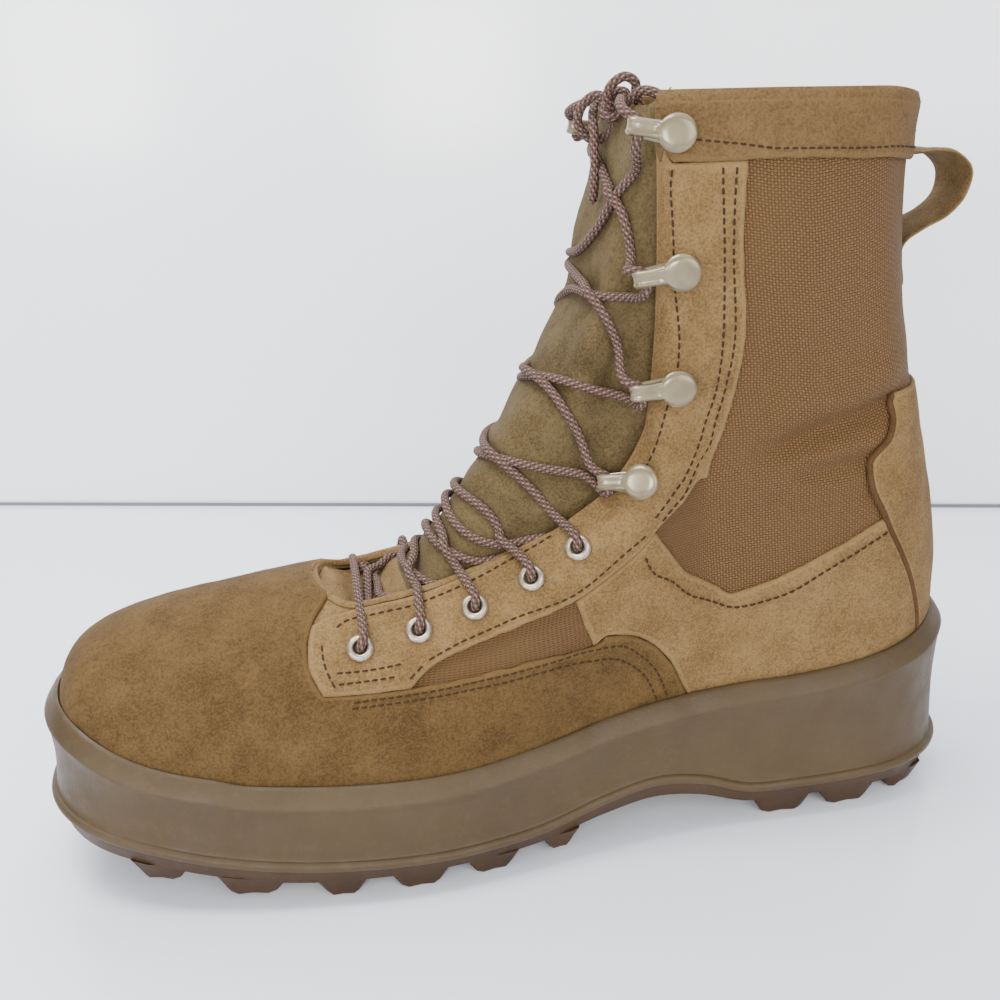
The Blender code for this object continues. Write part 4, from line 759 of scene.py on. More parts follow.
class Nodes:
    """Short way to build one node material."""

    def __init__(self, name):
        self.material = bpy.data.materials.new(name)
        self.material.use_nodes = True
        self.tree = self.material.node_tree
        self.shader = self.tree.nodes["Principled BSDF"]

    def new(self, kind, **values):
        """A new node with some of its settings."""
        node = self.tree.nodes.new(kind)
        for key, value in values.items():
            setattr(node, key, value)
        return node

    def link(self, a, b):
        self.tree.links.new(a, b)

    def put(self, socket, value):
        """Link a socket to another one, or set its value or colour."""
        if isinstance(value, bpy.types.NodeSocket):
            self.link(value, socket)
        elif isinstance(value, (tuple, list)) and len(value) == 3 and socket.type == "RGBA":
            socket.default_value = (*value, 1)
        else:
            socket.default_value = value

    def math(self, how, a, b=0.0):
        """The result of an operation on one or two values."""
        node = self.new("ShaderNodeMath", operation=how)
        for socket, value in zip(node.inputs, (a, b)):
            self.put(socket, value)
        return node.outputs[0]

    def mix(self, factor, a, b):
        """Colour a where the factor is 0, b where it is 1."""
        node = self.new("ShaderNodeMix", data_type="RGBA")
        self.put(node.inputs[0], factor)
        self.put(node.inputs[6], a)
        self.put(node.inputs[7], b)
        return node.outputs[2]

    def noise(self, scale, detail, rough):
        """Soft noise over the object's own place."""
        node = self.new("ShaderNodeTexNoise")
        self.link(self.new("ShaderNodeTexCoord").outputs["Object"], node.inputs["Vector"])
        node.inputs["Scale"].default_value = scale
        node.inputs["Detail"].default_value = detail
        node.inputs["Roughness"].default_value = rough
        return node.outputs[0]

    def ramp(self, value, low, high, a=0.0, b=1.0):
        """From a at low to b at high, and no further."""
        node = self.new("ShaderNodeMapRange")
        node.clamp = True
        self.put(node.inputs[0], value)
        for index, number in enumerate((low, high, a, b), 1):
            node.inputs[index].default_value = number
        return node.outputs[0]

    def bump(self, height, distance, strength, after=None):
        """Small relief, on top of an earlier one if given."""
        node = self.new("ShaderNodeBump")
        node.inputs["Strength"].default_value = strength
        node.inputs["Distance"].default_value = distance
        self.put(node.inputs["Height"], height)
        if after is not None:
            self.link(after, node.inputs["Normal"])
        return node.outputs[0]

    def uv(self):
        """The two UV coordinates."""
        node = self.new("ShaderNodeUVMap")
        parts = self.new("ShaderNodeSeparateXYZ")
        self.link(node.outputs[0], parts.inputs[0])
        return parts.outputs[0], parts.outputs[1]

    def value(self, name):
        """A named value of the mesh's points."""
        node = self.new("ShaderNodeAttribute")
        node.attribute_name = name
        return node.outputs["Fac"]

    def finish(self, colour, rough, normal=None, **fixed):
        """Link the surface's inputs and give the material back."""
        self.put(self.shader.inputs["Base Color"], colour)
        self.put(self.shader.inputs["Roughness"], rough)
        if normal is not None:
            self.link(normal, self.shader.inputs["Normal"])
        for key, value in fixed.items():
            self.put(self.shader.inputs[key.replace("_", " ")], value)
        return self.material


def suede(name, base, light, dark, nap=1.0, edge=True):
    """Napped leather: brushed patches, fine grain, open pores and a pale raw edge, with painted shadow along
    the edge's side and foot.
    """
    n = Nodes(name)
    patches = n.ramp(n.noise(24, 4, 0.62), 0.38, 0.62, 0.25, 1.0)
    smears = n.ramp(n.noise(80, 5, 0.68), 0.40, 0.66)
    brushed = n.ramp(n.noise(9, 2, 0.5), 0.42, 0.64)
    grain = n.noise(1300, 2, 0.65)
    pores = n.noise(480, 3, 0.7)
    colour = n.mix(patches, dark, base)
    colour = n.mix(n.math("MULTIPLY", smears, 0.62), colour, light)
    colour = n.mix(n.math("MULTIPLY", brushed, 0.38), colour, light)
    colour = n.mix(n.ramp(pores, 0.30, 0.50, 0.42, 0.0), colour, tuple(c * 0.6 for c in dark))
    colour = n.mix(n.ramp(grain, 0.42, 0.66, 0.0, 0.45), colour, light)
    colour = n.mix(n.ramp(grain, 0.36, 0.52, 0.40, 0.0), colour, dark)
    if edge:
        away = n.value("edge")
        frayed = n.math("ADD", away, n.math("MULTIPLY", grain, -0.8))
        colour = n.mix(n.ramp(frayed, -0.2, 0.45, 0.40, 0.0), colour, light)
        # Painted shadow: the edge's side and foot darken to a deep brown, standing for the shade along the
        # panel's edge
        colour = n.mix(n.ramp(away, -1.3, -0.3, 0.92, 0.0), colour, tuple(c * 0.25 for c in dark))
    height = n.math("ADD", n.math("MULTIPLY", grain, 0.4), n.math("MULTIPLY", pores, 0.6))
    normal = n.bump(height, 0.0006 * nap, 0.9)
    normal = n.bump(n.noise(150, 3, 0.6), 0.0009, 0.6, normal)
    return n.finish(colour, n.ramp(patches, 0, 1, 0.96, 0.88), normal, Specular_IOR_Level=0.2,
                    Sheen_Weight=0.07, Sheen_Roughness=0.5, Sheen_Tint=light)


def weave(name, thread, gap, pitch, depth):
    """Plain weave: threads that pass over and under each other, with painted shade in the gaps where they
    dip.
    """
    n = Nodes(name)
    x, y = n.uv()
    x = n.math("DIVIDE", x, pitch)
    y = n.math("DIVIDE", y, pitch * 0.86)
    fx = n.math("SINE", n.math("MULTIPLY", n.math("FRACT", x), math.pi))
    fy = n.math("SINE", n.math("MULTIPLY", n.math("FRACT", y), math.pi))
    turn = n.math("FRACT", n.math("MULTIPLY", n.math("ADD", n.math("FLOOR", x), n.math("FLOOR", y)), 0.5))
    over = n.math("GREATER_THAN", turn, 0.25)
    warp = n.math("MULTIPLY", fx, n.math("ADD", n.math("MULTIPLY", fy, 0.5), 0.5))
    weft = n.math("MULTIPLY", fy, n.math("ADD", n.math("MULTIPLY", fx, 0.5), 0.5))
    under = n.math("SUBTRACT", 1.0, over)
    height = n.math("ADD", n.math("MULTIPLY", over, warp), n.math("MULTIPLY", under, weft))
    tone = n.math("ADD", n.math("MULTIPLY", over, 0.35), height)
    # Painted shade: the colour falls to the gap colour where the threads dip low and between them
    colour = n.mix(n.ramp(tone, 0.15, 1.2), gap, thread)
    colour = n.mix(n.ramp(n.noise(30, 3, 0.6), 0.3, 0.7, 0.0, 0.25), colour, tuple(c * 0.7 for c in thread))
    normal = n.bump(height, depth, 0.8)
    return n.finish(colour, 0.72, normal, Specular_IOR_Level=0.3)


LACE_DARK = (0.092, 0.052, 0.043)
LACE_LIGHT = (0.215, 0.142, 0.098)
# Painted shade of the grooves between the braid's strands
LACE_GROOVE_SHADE = (0.030, 0.017, 0.015)
# Pairs of strands round the lace, and the length of one turn of its braid
BRAID_STRANDS = 5
BRAID_PITCH = 0.0026


def lace_material():
    """Round braid of two thread colours that wind against each other."""
    n = Nodes("braided_lace")
    x, y = n.uv()
    turns = n.math("MULTIPLY", x, BRAID_STRANDS * 2 * math.pi)
    run = n.math("MULTIPLY", y, 2 * math.pi / BRAID_PITCH)
    one = n.math("SINE", n.math("ADD", turns, run))
    two = n.math("SINE", n.math("SUBTRACT", turns, run))
    height = n.math("MAXIMUM", one, two)
    fleck = n.ramp(n.math("SUBTRACT", one, two), 0.3, 1.3)
    colour = n.mix(fleck, LACE_DARK, LACE_LIGHT)
    # Painted shade: the grooves between the braid's strands darken to a near black
    colour = n.mix(n.ramp(height, -0.3, 0.5, 0.7, 0.0), colour, LACE_GROOVE_SHADE)
    return n.finish(colour, 0.85, n.bump(height, 0.0003, 0.8), Specular_IOR_Level=0.2)


def foam(name, base, light, dark, rough):
    """Matt moulded rubber or foam with a fine skin and dusty patches."""
    n = Nodes(name)
    patches = n.ramp(n.noise(22, 4, 0.6), 0.35, 0.68)
    fine = n.noise(900, 3, 0.6)
    colour = n.mix(patches, dark, base)
    colour = n.mix(n.ramp(n.noise(240, 5, 0.7), 0.52, 0.72, 0.0, 0.5), colour, light)
    colour = n.mix(n.ramp(fine, 0.35, 0.65, 0.0, 0.25), colour, dark)
    normal = n.bump(fine, 0.00025, 0.6)
    normal = n.bump(n.noise(60, 2, 0.5), 0.0006, 0.5, normal)
    gloss = n.ramp(n.noise(120, 3, 0.6), 0.3, 0.7, rough - 0.08, rough + 0.12)
    return n.finish(colour, gloss, normal, Specular_IOR_Level=0.35)


def enamel():
    """Glossy tan enamel over metal."""
    n = Nodes("hook_enamel_gloss")
    colour = n.mix(n.ramp(n.noise(160, 3, 0.6), 0.35, 0.7), (0.150, 0.118, 0.062), (0.200, 0.160, 0.088))
    normal = n.bump(n.noise(420, 2, 0.5), 0.0001, 0.5)
    return n.finish(colour, 0.28, normal, Metallic=0.25, Specular_IOR_Level=0.6, Coat_Weight=0.4,
                    Coat_Roughness=0.12)


def bright_metal():
    """Bright metal with a tan tint, slightly rubbed."""
    n = Nodes("eyelet_bright")
    colour = n.mix(n.ramp(n.noise(700, 3, 0.6), 0.35, 0.7), (0.30, 0.25, 0.18), (0.55, 0.48, 0.38))
    return n.finish(colour, 0.3, n.bump(n.noise(900, 2, 0.5), 0.0001, 0.5), Metallic=0.85)


THREAD_TWIST = 0.0009


def thread(name, colour):
    """Twisted sewing thread."""
    n = Nodes(name)
    x, y = n.uv()
    run = n.math("MULTIPLY", y, 2 * math.pi / THREAD_TWIST)
    twist = n.math("SINE", n.math("ADD", run, n.math("MULTIPLY", x, 6.28)))
    shade = n.mix(n.ramp(twist, -1, 1, 0.0, 0.5), colour, tuple(c * 0.5 for c in colour))
    return n.finish(shade, 0.8, n.bump(twist, 0.0001, 0.6), Specular_IOR_Level=0.2)


def painted_hole_shade():
    """Painted shade inside an eyelet: a dark disc where the hole stands in shade."""
    n = Nodes("hole_painted_shade")
    colour = n.mix(n.ramp(n.noise(300, 2, 0.5), 0.3, 0.7), (0.010, 0.007, 0.005), (0.025, 0.018, 0.012))
    return n.finish(colour, 0.95)


# Tones of each leather, foam and rubber: base, light, dark
SUEDE_TONES = ((0.136, 0.079, 0.0270), (0.224, 0.143, 0.060), (0.080, 0.044, 0.0145))
# The vamp's tones are the coyote suede darkened, as painted shade for the less lit vamp
SHADED_VAMP_TONES = ((0.071, 0.0395, 0.0118), (0.125, 0.074, 0.025), (0.043, 0.023, 0.0064))
BAND_TONES = ((0.094, 0.0530, 0.0190), (0.152, 0.092, 0.037), (0.056, 0.030, 0.0102))
TONGUE_TONES = ((0.0713, 0.0475, 0.0172), (0.1188, 0.0845, 0.0370), (0.0383, 0.0238, 0.0079))
STRAP_TONES = ((0.160, 0.108, 0.044), (0.230, 0.165, 0.080), (0.100, 0.066, 0.026))
PIPING_TONES = ((0.062, 0.030, 0.010), (0.095, 0.050, 0.017), (0.040, 0.019, 0.006))
MIDSOLE_TONES = ((0.064, 0.0395, 0.0135), (0.086, 0.0560, 0.0215), (0.048, 0.0285, 0.0092))
OUTSOLE_TONES = ((0.048, 0.0225, 0.0058), (0.070, 0.036, 0.011), (0.030, 0.0135, 0.0036))
SUEDE = suede("coyote_suede", *SUEDE_TONES)
SHADED_VAMP_SUEDE = suede("vamp_suede_painted_shade", *SHADED_VAMP_TONES)
BAND_SUEDE = suede("rough_collar_suede", *BAND_TONES, nap=1.5)
# The second colour of each weave is the painted shade in its gaps
TEXTILE = weave("woven_nylon", (0.172, 0.089, 0.027), (0.026, 0.012, 0.0036), 0.00105, 0.0005)
LINING = weave("lining_mesh", (0.050, 0.032, 0.016), (0.018, 0.012, 0.007), 0.0012, 0.0004)
TONGUE_SKIN = suede("tongue_olive_suede", *TONGUE_TONES, nap=0.5, edge=False)
MIDSOLE = foam("taupe_polyurethane", *MIDSOLE_TONES, 0.5)
OUTSOLE = foam("brown_rubber", *OUTSOLE_TONES, 0.55)
ENAMEL = enamel()
METAL = bright_metal()
LACE_SKIN = lace_material()
DARK_THREAD = thread("brown_thread", (0.036, 0.018, 0.007))
TAN_THREAD = thread("tan_thread", (0.040, 0.021, 0.008))
STRAP_IN = suede("strap_olive_inside", *STRAP_TONES, nap=0.6, edge=False)
PLAIN_SUEDE = suede("coyote_suede_inside_throat", *SUEDE_TONES, edge=False)
PIPING = suede("dark_seam", *PIPING_TONES, nap=0.8, edge=False)
HOLE_SHADE = painted_hole_shade()


def build_shell():
    """The woven shell: outer face, lining face and its edges, as one closed body."""
    columns, rows = 300, 96
    q = np.arange(columns) / columns
    u = np.linspace(0, 1, rows)
    flat_q = np.tile(q, rows)
    flat_u = np.repeat(u, columns)
    base = upper_point(flat_q, flat_u)
    normal = upper_normal(flat_q, flat_u)
    bump = relief(base, SHELL_UNEVEN)
    outer = base + normal * bump[:, None]
    inner = base + normal * (bump - WALL)[:, None]
    count = rows * columns
    grid = outer.reshape(rows, columns, 3)
    around = np.linalg.norm(np.diff(np.concatenate([grid, grid[:, :1]], axis=1), axis=1), axis=2)
    middle = columns // 2
    arc = np.concatenate([np.zeros((rows, 1)), np.cumsum(around, axis=1)[:, :-1]], axis=1)
    arc = arc - arc[:, middle:middle + 1]
    rise = np.linalg.norm(np.diff(grid, axis=0), axis=2)
    up = np.concatenate([np.zeros((1, columns)), np.cumsum(rise, axis=0)])
    uv = np.column_stack([arc.ravel(), up.ravel()])
    faces = grid_faces(rows, columns, True)
    share = np.minimum(q, 1 - q) * 2
    kinds = [2 if share[k % columns] < 0.50 and u[k // columns] > 0.66 else 0 for k in range(len(faces))]
    lining = grid_faces(rows, columns, True, count, True)
    faces += lining
    kinds += [1] * len(lining)
    top = (rows - 1) * columns
    for j in range(columns):
        after = (j + 1) % columns
        faces.append((after, j, j + count, after + count))
        faces.append((top + j, top + after, top + after + count, top + j + count))
        kinds += [0, 2 if share[j] < 0.52 else 0]
    skins = [TEXTILE, LINING, PLAIN_SUEDE]
    return make("woven_shell", np.vstack([outer, inner]), faces, skins, 60, np.vstack([uv, uv]),
                kinds=kinds, stands_for=["upper"])


VAMP_FOOT = [(0.0, FOOT), (0.22, FOOT), (0.44, FOOT), (0.660, FOOT)]
VAMP_RUNS = [(VAMP_FOOT, 1), (VAMP_SEAM, 1), (VAMP_TOP_SEAM, 1), (TAB_FRONT, 1), (VAMP_LIP, 1),
             ([(0.200, LIP), (0.0, LIP)], 1)]
BACKSTAY_RUNS = [([(1.0, FOOT), (0.912, FOOT)], 1), (BACKSTAY_SEAM, 1), (BACKSTAY_SHOULDER, 1),
                 (BACKSTAY_TOP, 1)]
BAND_RUNS = [(BAND_REST, -1), (BAND_FOOT, -1), (BAND_FRONT, -1),
             ([(COLLAR_FRONT, LIP), (0.690, LIP)], 1), ([(0.690, LIP), (1.0, LIP)], 1)]
EYESTAY_RUNS = [(TAB_FRONT, 1), (EYESTAY_LIP, 1), (FACING_LIP, 1), (BAND_FRONT, 1), (BAND_FOOT, 1),
                (FACING_REAR, 1), (FACING_FOOT, 1), (EYESTAY_FOOT, 1), ([(0.379, 0.480), (0.300, 0.480)], 1)]
QUARTER_RUNS = [([(0.660, FOOT), (0.912, FOOT)], 1), (BACKSTAY_SEAM, 1), (SHAFT_FOOT, -1),
                (EYESTAY_FOOT[:3], 1), (VENT_REAR, 1), ([(0.552, 0.362), (0.562, 0.372)], 1), (VAMP_SEAM, -1)]


def build_panels():
    """Suede panels, each a little higher than the one it overlaps."""
    patch("vamp_suede", both_sides(VAMP_RUNS, 0.0), SHADED_VAMP_SUEDE, 0.0002, ["vamp"], step=0.0024)
    patch("backstay_suede", both_sides(BACKSTAY_RUNS, 1.0), SUEDE, 0.0003, ["backstay"], step=0.0022)
    patch("collar_suede", both_sides(BAND_RUNS, 1.0), BAND_SUEDE, 0.0006, ["collar_band"], OVERLAY * 1.1,
          fray=0.0004)
    for side in SIDES:
        patch("eyestay_suede_" + side, loop_of(to_side(EYESTAY_RUNS, side)), SUEDE, 0.0004,
              ["eyestay_" + side])
        patch("quarter_suede_" + side, loop_of(to_side(QUARTER_RUNS, side)), SUEDE, 0.0,
              ["quarter_" + side])


def loop_of(runs):
    """Closed outline from runs, each given with a sign: -1 reads it backwards."""
    points = []
    for run, sign in runs:
        points.extend(smooth_run(run)[::sign][:-1])
    return np.array(points)


# Stitch rows: run of (share, u) and pitch in metres
STITCHES_DARK = [
    ([(0.697, 0.930), (0.741, 0.915), (0.771, 0.905), (0.835, 0.911), (0.957, 0.938),
      (1.0, 0.940)], 0.0026),
    ([(0.697, 0.878), (0.682, 0.819), (0.668, 0.785), (0.662, 0.720), (0.648, 0.726), (0.627, 0.770),
      (0.600, 0.800), (0.572, 0.850)], 0.0029),
    ([(0.734, 0.880), (0.730, 0.753), (0.722, 0.629), (0.710, 0.544), (0.691, 0.490), (0.672, 0.475),
      (0.642, 0.525), (0.602, 0.600)], 0.0029),
    ([(0.7415, 0.880), (0.7355, 0.749), (0.730, 0.622), (0.718, 0.544), (0.704, 0.490), (0.687, 0.444),
      (0.658, 0.466), (0.615, 0.541)], 0.0029),
    ([(0.274, 0.830), (0.290, 0.880), (0.351, 0.885), (0.385, 0.900), (0.421, 0.915), (0.454, 0.932),
      (0.489, 0.955)], 0.0029),
    ([(0.595, 0.520), (0.612, 0.420), (0.636, 0.330), (0.665, 0.225), (0.698, 0.172), (0.747, 0.180),
      (0.800, 0.222), (0.858, 0.276)], 0.0029),
    ([(0.388, 0.590), (0.410, 0.625), (0.433, 0.640), (0.469, 0.648), (0.516, 0.622), (0.560, 0.632),
      (0.590, 0.600)], 0.0029),
    ([(0.270, 0.745), (0.290, 0.620), (0.309, 0.515)], 0.0029),
    ([(0.303, 0.590), (0.335, 0.590), (0.365, 0.600)], 0.0026),
    ([(0.309, 0.535), (0.335, 0.540), (0.362, 0.545)], 0.0026),
    ([(0.375, 0.520), (0.385, 0.575)], 0.0026),
]
STITCHES_TAN = [
    ([(0.329, 0.447), (0.358, 0.453), (0.385, 0.452), (0.412, 0.447), (0.439, 0.441), (0.469, 0.427),
      (0.499, 0.409), (0.531, 0.382), (0.557, 0.344), (0.585, 0.287), (0.607, 0.209), (0.625, 0.128),
      (0.636, 0.050)], 0.0027),
    ([(0.329, 0.420), (0.358, 0.426), (0.385, 0.425), (0.412, 0.420), (0.439, 0.413), (0.469, 0.399),
      (0.499, 0.381), (0.528, 0.355), (0.551, 0.318), (0.577, 0.265), (0.598, 0.200), (0.615, 0.126),
      (0.626, 0.050)], 0.0027),
]


def build_stitches():
    """All stitch rows, the collar band's row a little higher than the others."""
    dark = Heap()
    tan = Heap()
    for side in SIDES:
        for number, (run, pitch) in enumerate(STITCHES_DARK):
            stitch_row(dark, side, run, pitch, OVERLAY + (0.0007 if number == 0 else 0.0004))
        for run, pitch in STITCHES_TAN:
            stitch_row(tan, side, run, pitch, OVERLAY + 0.0002)
    dark.make("dark_stitches", DARK_THREAD, "suede")
    tan.make("tan_stitches", TAN_THREAD, "suede")


def seam_cord(heap, side, run, radius, lift):
    """A rolled seam or piping along a run of (share, u)."""
    curve = side_run(side, run)
    heap.add(*tube(even(skin(curve[:, 0], curve[:, 1], lift), 0.0012), radius, 8))


LIP_SEAM = [(0.0, 0.985), (0.100, 0.985), (0.185, 0.985), (0.260, 0.988), (0.360, 0.988), (0.460, 0.985)]


def build_seams():
    """Piping along the backstay and the rolled lip of the throat."""
    heap = Heap()
    lip = Heap()
    for side in SIDES:
        seam_cord(heap, side, BACKSTAY_SEAM + BACKSTAY_SHOULDER[1:], 0.0011, 0.0011)
        seam_cord(lip, side, LIP_SEAM, 0.0016, -0.0002)
    heap.make("backstay_piping", PIPING, "suede")
    lip.make("throat_lip", PLAIN_SUEDE, "suede")


# Section of the collar's rolled edge: share up the rib, offset outwards and lift in metres
RIM_FORM = [
    (0.975, OVERLAY + 0.0007, 0.0), (0.990, OVERLAY + 0.0007, 0.0002), (1.0, OVERLAY * 0.7, 0.0007),
    (1.0, -0.0004, 0.0011), (1.0, -WALL - 0.0002, 0.0006), (0.985, -WALL - 0.0010, -0.0002),
    (0.950, -WALL - 0.0009, 0.0), (0.930, -WALL - 0.0002, 0.0), (0.930, -WALL + 0.0012, 0.0),
    (0.975, -0.0008, 0.0),
]


def build_rim():
    """The collar's rolled top edge, from its front corners round the back, down to the lining."""
    columns = 260
    q = np.linspace(COLLAR_FRONT / 2, 1 - COLLAR_FRONT / 2, columns)
    rows = []
    for u, offset, lift in RIM_FORM:
        base = upper_point(q, np.full(columns, u))
        normal = upper_normal(q, np.full(columns, min(u, 0.97)))
        row = base + normal * (offset + relief(base))[:, None]
        row[:, 2] += lift
        rows.append(row)
    verts = np.array(rows).transpose(1, 0, 2).reshape(-1, 3)
    width = len(RIM_FORM)
    faces = grid_faces(columns, width, True)
    faces.append(tuple(range(width))[::-1])
    faces.append(tuple((columns - 1) * width + k for k in range(width)))
    uv = np.column_stack([np.repeat(q, width), np.tile(np.arange(width), columns)])
    away = {"edge": np.full(len(verts), 6.0)}
    return make("collar_rim", verts, faces, BAND_SUEDE, 60, uv, away)


# Tongue

def tongue_line(share):
    """Middle line of the tongue beside a share of the throat."""
    table = np.array(TONGUE_LINE)
    knots = table[:, 0]
    share = np.clip(share, knots[0], knots[-1])
    slope = np.gradient(table[:, 1:], knots, axis=0)
    index = int(np.clip(np.searchsorted(knots, share, side="right") - 1, 0, len(knots) - 2))
    width = knots[index + 1] - knots[index]
    far, leave, arrive = cubic((share - knots[index]) / width)
    value = table[index, 1:] + (table[index + 1, 1:] - table[index, 1:]) * far
    value = value + slope[index] * width * leave + slope[index + 1] * width * arrive
    return np.array([value[0] * LENGTH, 0.0, value[1] * COLLAR_HEIGHT])


def tongue_row(share, across):
    """Points across the tongue at a throat share, from -1 (outer side) to 1 (inner side)."""
    centre = tongue_line(share)
    tuck = WALL + 0.0008
    edges = []
    for side in SIDES:
        q = np.full(1, side_q(side, share))
        edges.append(upper_point(q, np.ones(1))[0] - upper_normal(q, np.ones(1))[0] * tuck)
    middle = (edges[0] + edges[1]) / 2
    forward = centre - middle
    reach = np.linalg.norm(forward)
    forward = forward / max(reach, 1e-9)
    points = []
    for value in across:
        start = edges[0] if value <= 0 else edges[1]
        sign = -1.0 if value <= 0 else 1.0
        t = 1 - abs(value)
        width = abs(start[1])
        first = start + forward * reach * 0.62
        second = centre + np.array([0, sign * width * 0.72, 0])
        v = 1 - t
        points.append(v ** 3 * start + 3 * v * v * t * first + 3 * v * t * t * second + t ** 3 * centre)
    return np.array(points)


LACE_ROWS = [spot[0] for spot in EYELETS] + HOOK_TIPS

# Folds of the tongue: run of (share, across), height in metres, width across
TONGUE_FOLDS = [
    ([(0.560, -0.80), (0.600, -0.74), (0.640, -0.78)], -0.0026, 0.10),
    ([(0.540, -0.52), (0.570, -0.44), (0.600, -0.30)], -0.0018, 0.09),
    ([(0.590, -0.58), (0.620, -0.50), (0.645, -0.46)], 0.0018, 0.11),
    ([(0.610, -0.20), (0.640, -0.34), (0.660, -0.52)], -0.0014, 0.08),
    ([(0.500, -0.62), (0.530, -0.66), (0.548, -0.78)], -0.0016, 0.09),
    ([(0.660, -0.60), (0.680, -0.52), (0.690, -0.50)], -0.0012, 0.10),
    ([(0.560, 0.80), (0.600, 0.74), (0.640, 0.78)], -0.0026, 0.10),
    ([(0.540, 0.50), (0.580, 0.40), (0.610, 0.42)], -0.0016, 0.10),
]


def tongue_swell(share, across):
    """Soft pillows of the tongue between the lace rows, and folds along its sides."""
    share = np.asarray(share, float)
    across = np.asarray(across, float)
    rows = np.array(LACE_ROWS + [0.705])
    index = np.clip(np.searchsorted(rows, share) - 1, 0, len(rows) - 2)
    place = np.clip((share - rows[index]) / (rows[index + 1] - rows[index]), 0, 1)
    big = np.where(share > 0.5, 1.5, 0.8)
    middle = np.cos(np.clip(across, -1, 1) * math.pi / 2)
    pillow = (np.sin(place * math.pi) ** 1.5 - 0.45) * 0.0011 * big * middle
    fold = np.cos(across * 9.0 + share * 16) * 0.0009 * middle * np.clip((share - 0.3) * 4, 0, 1)
    crease = np.sin(share * 95 + across * 3.0) * 0.0005 * middle
    total = pillow + fold + crease
    for run, depth, width in TONGUE_FOLDS:
        run = np.array(run)
        for a, b in zip(run, run[1:]):
            ab = b - a
            ahead = (share - a[0]) * ab[0] * 12 + (across - a[1]) * ab[1]
            t = np.clip(ahead / (ab[0] ** 2 * 12 + ab[1] ** 2), 0, 1)
            gap = np.hypot((share - a[0] - t * ab[0]) * 3.5, across - a[1] - t * ab[1])
            total = total + depth * np.exp(-(gap / width) ** 2) * 0.7
    return total


# The leather panel over the tongue's foot ends at this share of the throat
TONGUE_PANEL = 0.345


def tongue_form(across, shares):
    """Grid of points of the bare tongue, from its tucked root to its raised top."""
    rows = [tongue_row(shares[0], across) + TONGUE_ROOT]
    rows += [tongue_row(s, across) for s in shares]
    last = rows[-1]
    half = abs(last[0][1])
    for lift in (0.35, 0.7, 1.0):
        raised = last.copy()
        raised[:, 2] += TONGUE_RISE * lift * (0.35 + 0.65 * np.cos(last[:, 1] / half * math.pi / 2))
        raised[:, 0] += TONGUE_LEAN * lift
        rows.append(raised)
    return np.array(rows)


def border(rows, columns):
    """Indices round the border of a grid."""
    line = list(range(columns))
    line += [i * columns + columns - 1 for i in range(1, rows)]
    line += [(rows - 1) * columns + j for j in range(columns - 2, -1, -1)]
    return line + [i * columns for i in range(rows - 2, 0, -1)]


def build_tongue():
    """The tongue as one closed body, its top raised behind the knot."""
    across = np.sin(np.linspace(-1, 1, 61) * math.pi / 2 * 0.98) / math.sin(math.pi / 2 * 0.98)
    shares = np.linspace(THROAT_SHARE, COLLAR_SHARE, 130)
    outer = tongue_form(across, shares)
    shape = outer.shape[:2]
    normal = unit(np.cross(np.gradient(outer, axis=0), np.gradient(outer, axis=1)))
    if normal[60, 30, 0] > 0:
        normal = -normal
    share_grid = np.concatenate([[shares[0]], shares, [COLLAR_SHARE] * 3])
    swell = tongue_swell(share_grid[:, None] * np.ones(shape), across[None, :] * np.ones(shape))
    lift = swell + unevenness(outer.reshape(-1, 3)).reshape(shape) * TONGUE_UNEVEN
    lift = lift + 0.0030 * np.clip((0.275 - share_grid) / 0.09, 0, 1)[:, None]
    lift *= np.clip((1 - np.abs(across)) * 6, 0, 1)[None, :]
    outer = outer + normal * lift[:, :, None]
    inner = outer - normal * TONGUE_THICKNESS
    count = shape[0] * shape[1]
    faces = grid_faces(*shape) + grid_faces(*shape, False, count, True)
    around = border(*shape)
    for a, b in zip(around, around[1:] + around[:1]):
        faces.append((b, a, a + count, b + count))
    verts = np.vstack([outer.reshape(-1, 3), inner.reshape(-1, 3)])
    width = shape[1] - 1
    front = (shape[0] - 1) * width
    kinds = [int(k < front and share_grid[k // width] < TONGUE_PANEL) for k in range(len(faces))]
    return make("tongue_suede", verts, faces, [TONGUE_SKIN, PLAIN_SUEDE], 60, kinds=kinds,
                stands_for=["tongue"])


def tongue_place(share, across, lift):
    """A point over the dressed tongue."""
    step = 0.01
    here = tongue_row(share, [across])[0]
    ahead = tongue_row(share + step, [across])[0] - tongue_row(share - step, [across])[0]
    side = tongue_row(share, [min(across + 0.08, 1)])[0] - tongue_row(share, [max(across - 0.08, -1)])[0]
    normal = unit(np.cross(ahead, side))
    if normal[0] > 0:
        normal = -normal
    return here + normal * (lift + float(tongue_swell(share, across)))


# Eyelets and hooks

def spot_frame(side, spot):
    """Place, normal and direction along the throat of a spot on the upper."""
    q = np.array([side_q(side, spot[0])])
    u = np.array([spot[1]])
    normal = upper_normal(q, u)[0]
    ahead = np.array([side_q(side, spot[0] + 0.02)])
    along = upper_point(ahead, np.ones(1))[0] - upper_point(q, np.ones(1))[0]
    along = unit(along - normal * np.dot(along, normal))
    return upper_point(q, u)[0], normal, along


# Section of an eyelet: radius and height over the textile
EYELET_FORM = [
    (EYELET_BORE, -WALL - 0.0006), (EYELET_BORE, OVERLAY + 0.0008), (0.0024, OVERLAY + 0.0013),
    (0.0029, OVERLAY + 0.0017), (0.0035, OVERLAY + 0.0017), (0.0041, OVERLAY + 0.0013),
    (0.0045, OVERLAY + 0.0007), (EYELET_FLANGE, OVERLAY + 0.0002), (EYELET_TUBE, OVERLAY - 0.0002),
    (EYELET_TUBE, -WALL - 0.0003), (0.0043, -WALL - 0.0004), (0.0042, -WALL - 0.0009),
]
# Section of the disc of painted shade in each eyelet: radius and height over the textile
HOLE_FORM = [(0.0021, OVERLAY + 0.0006), (0.0021, -WALL)]


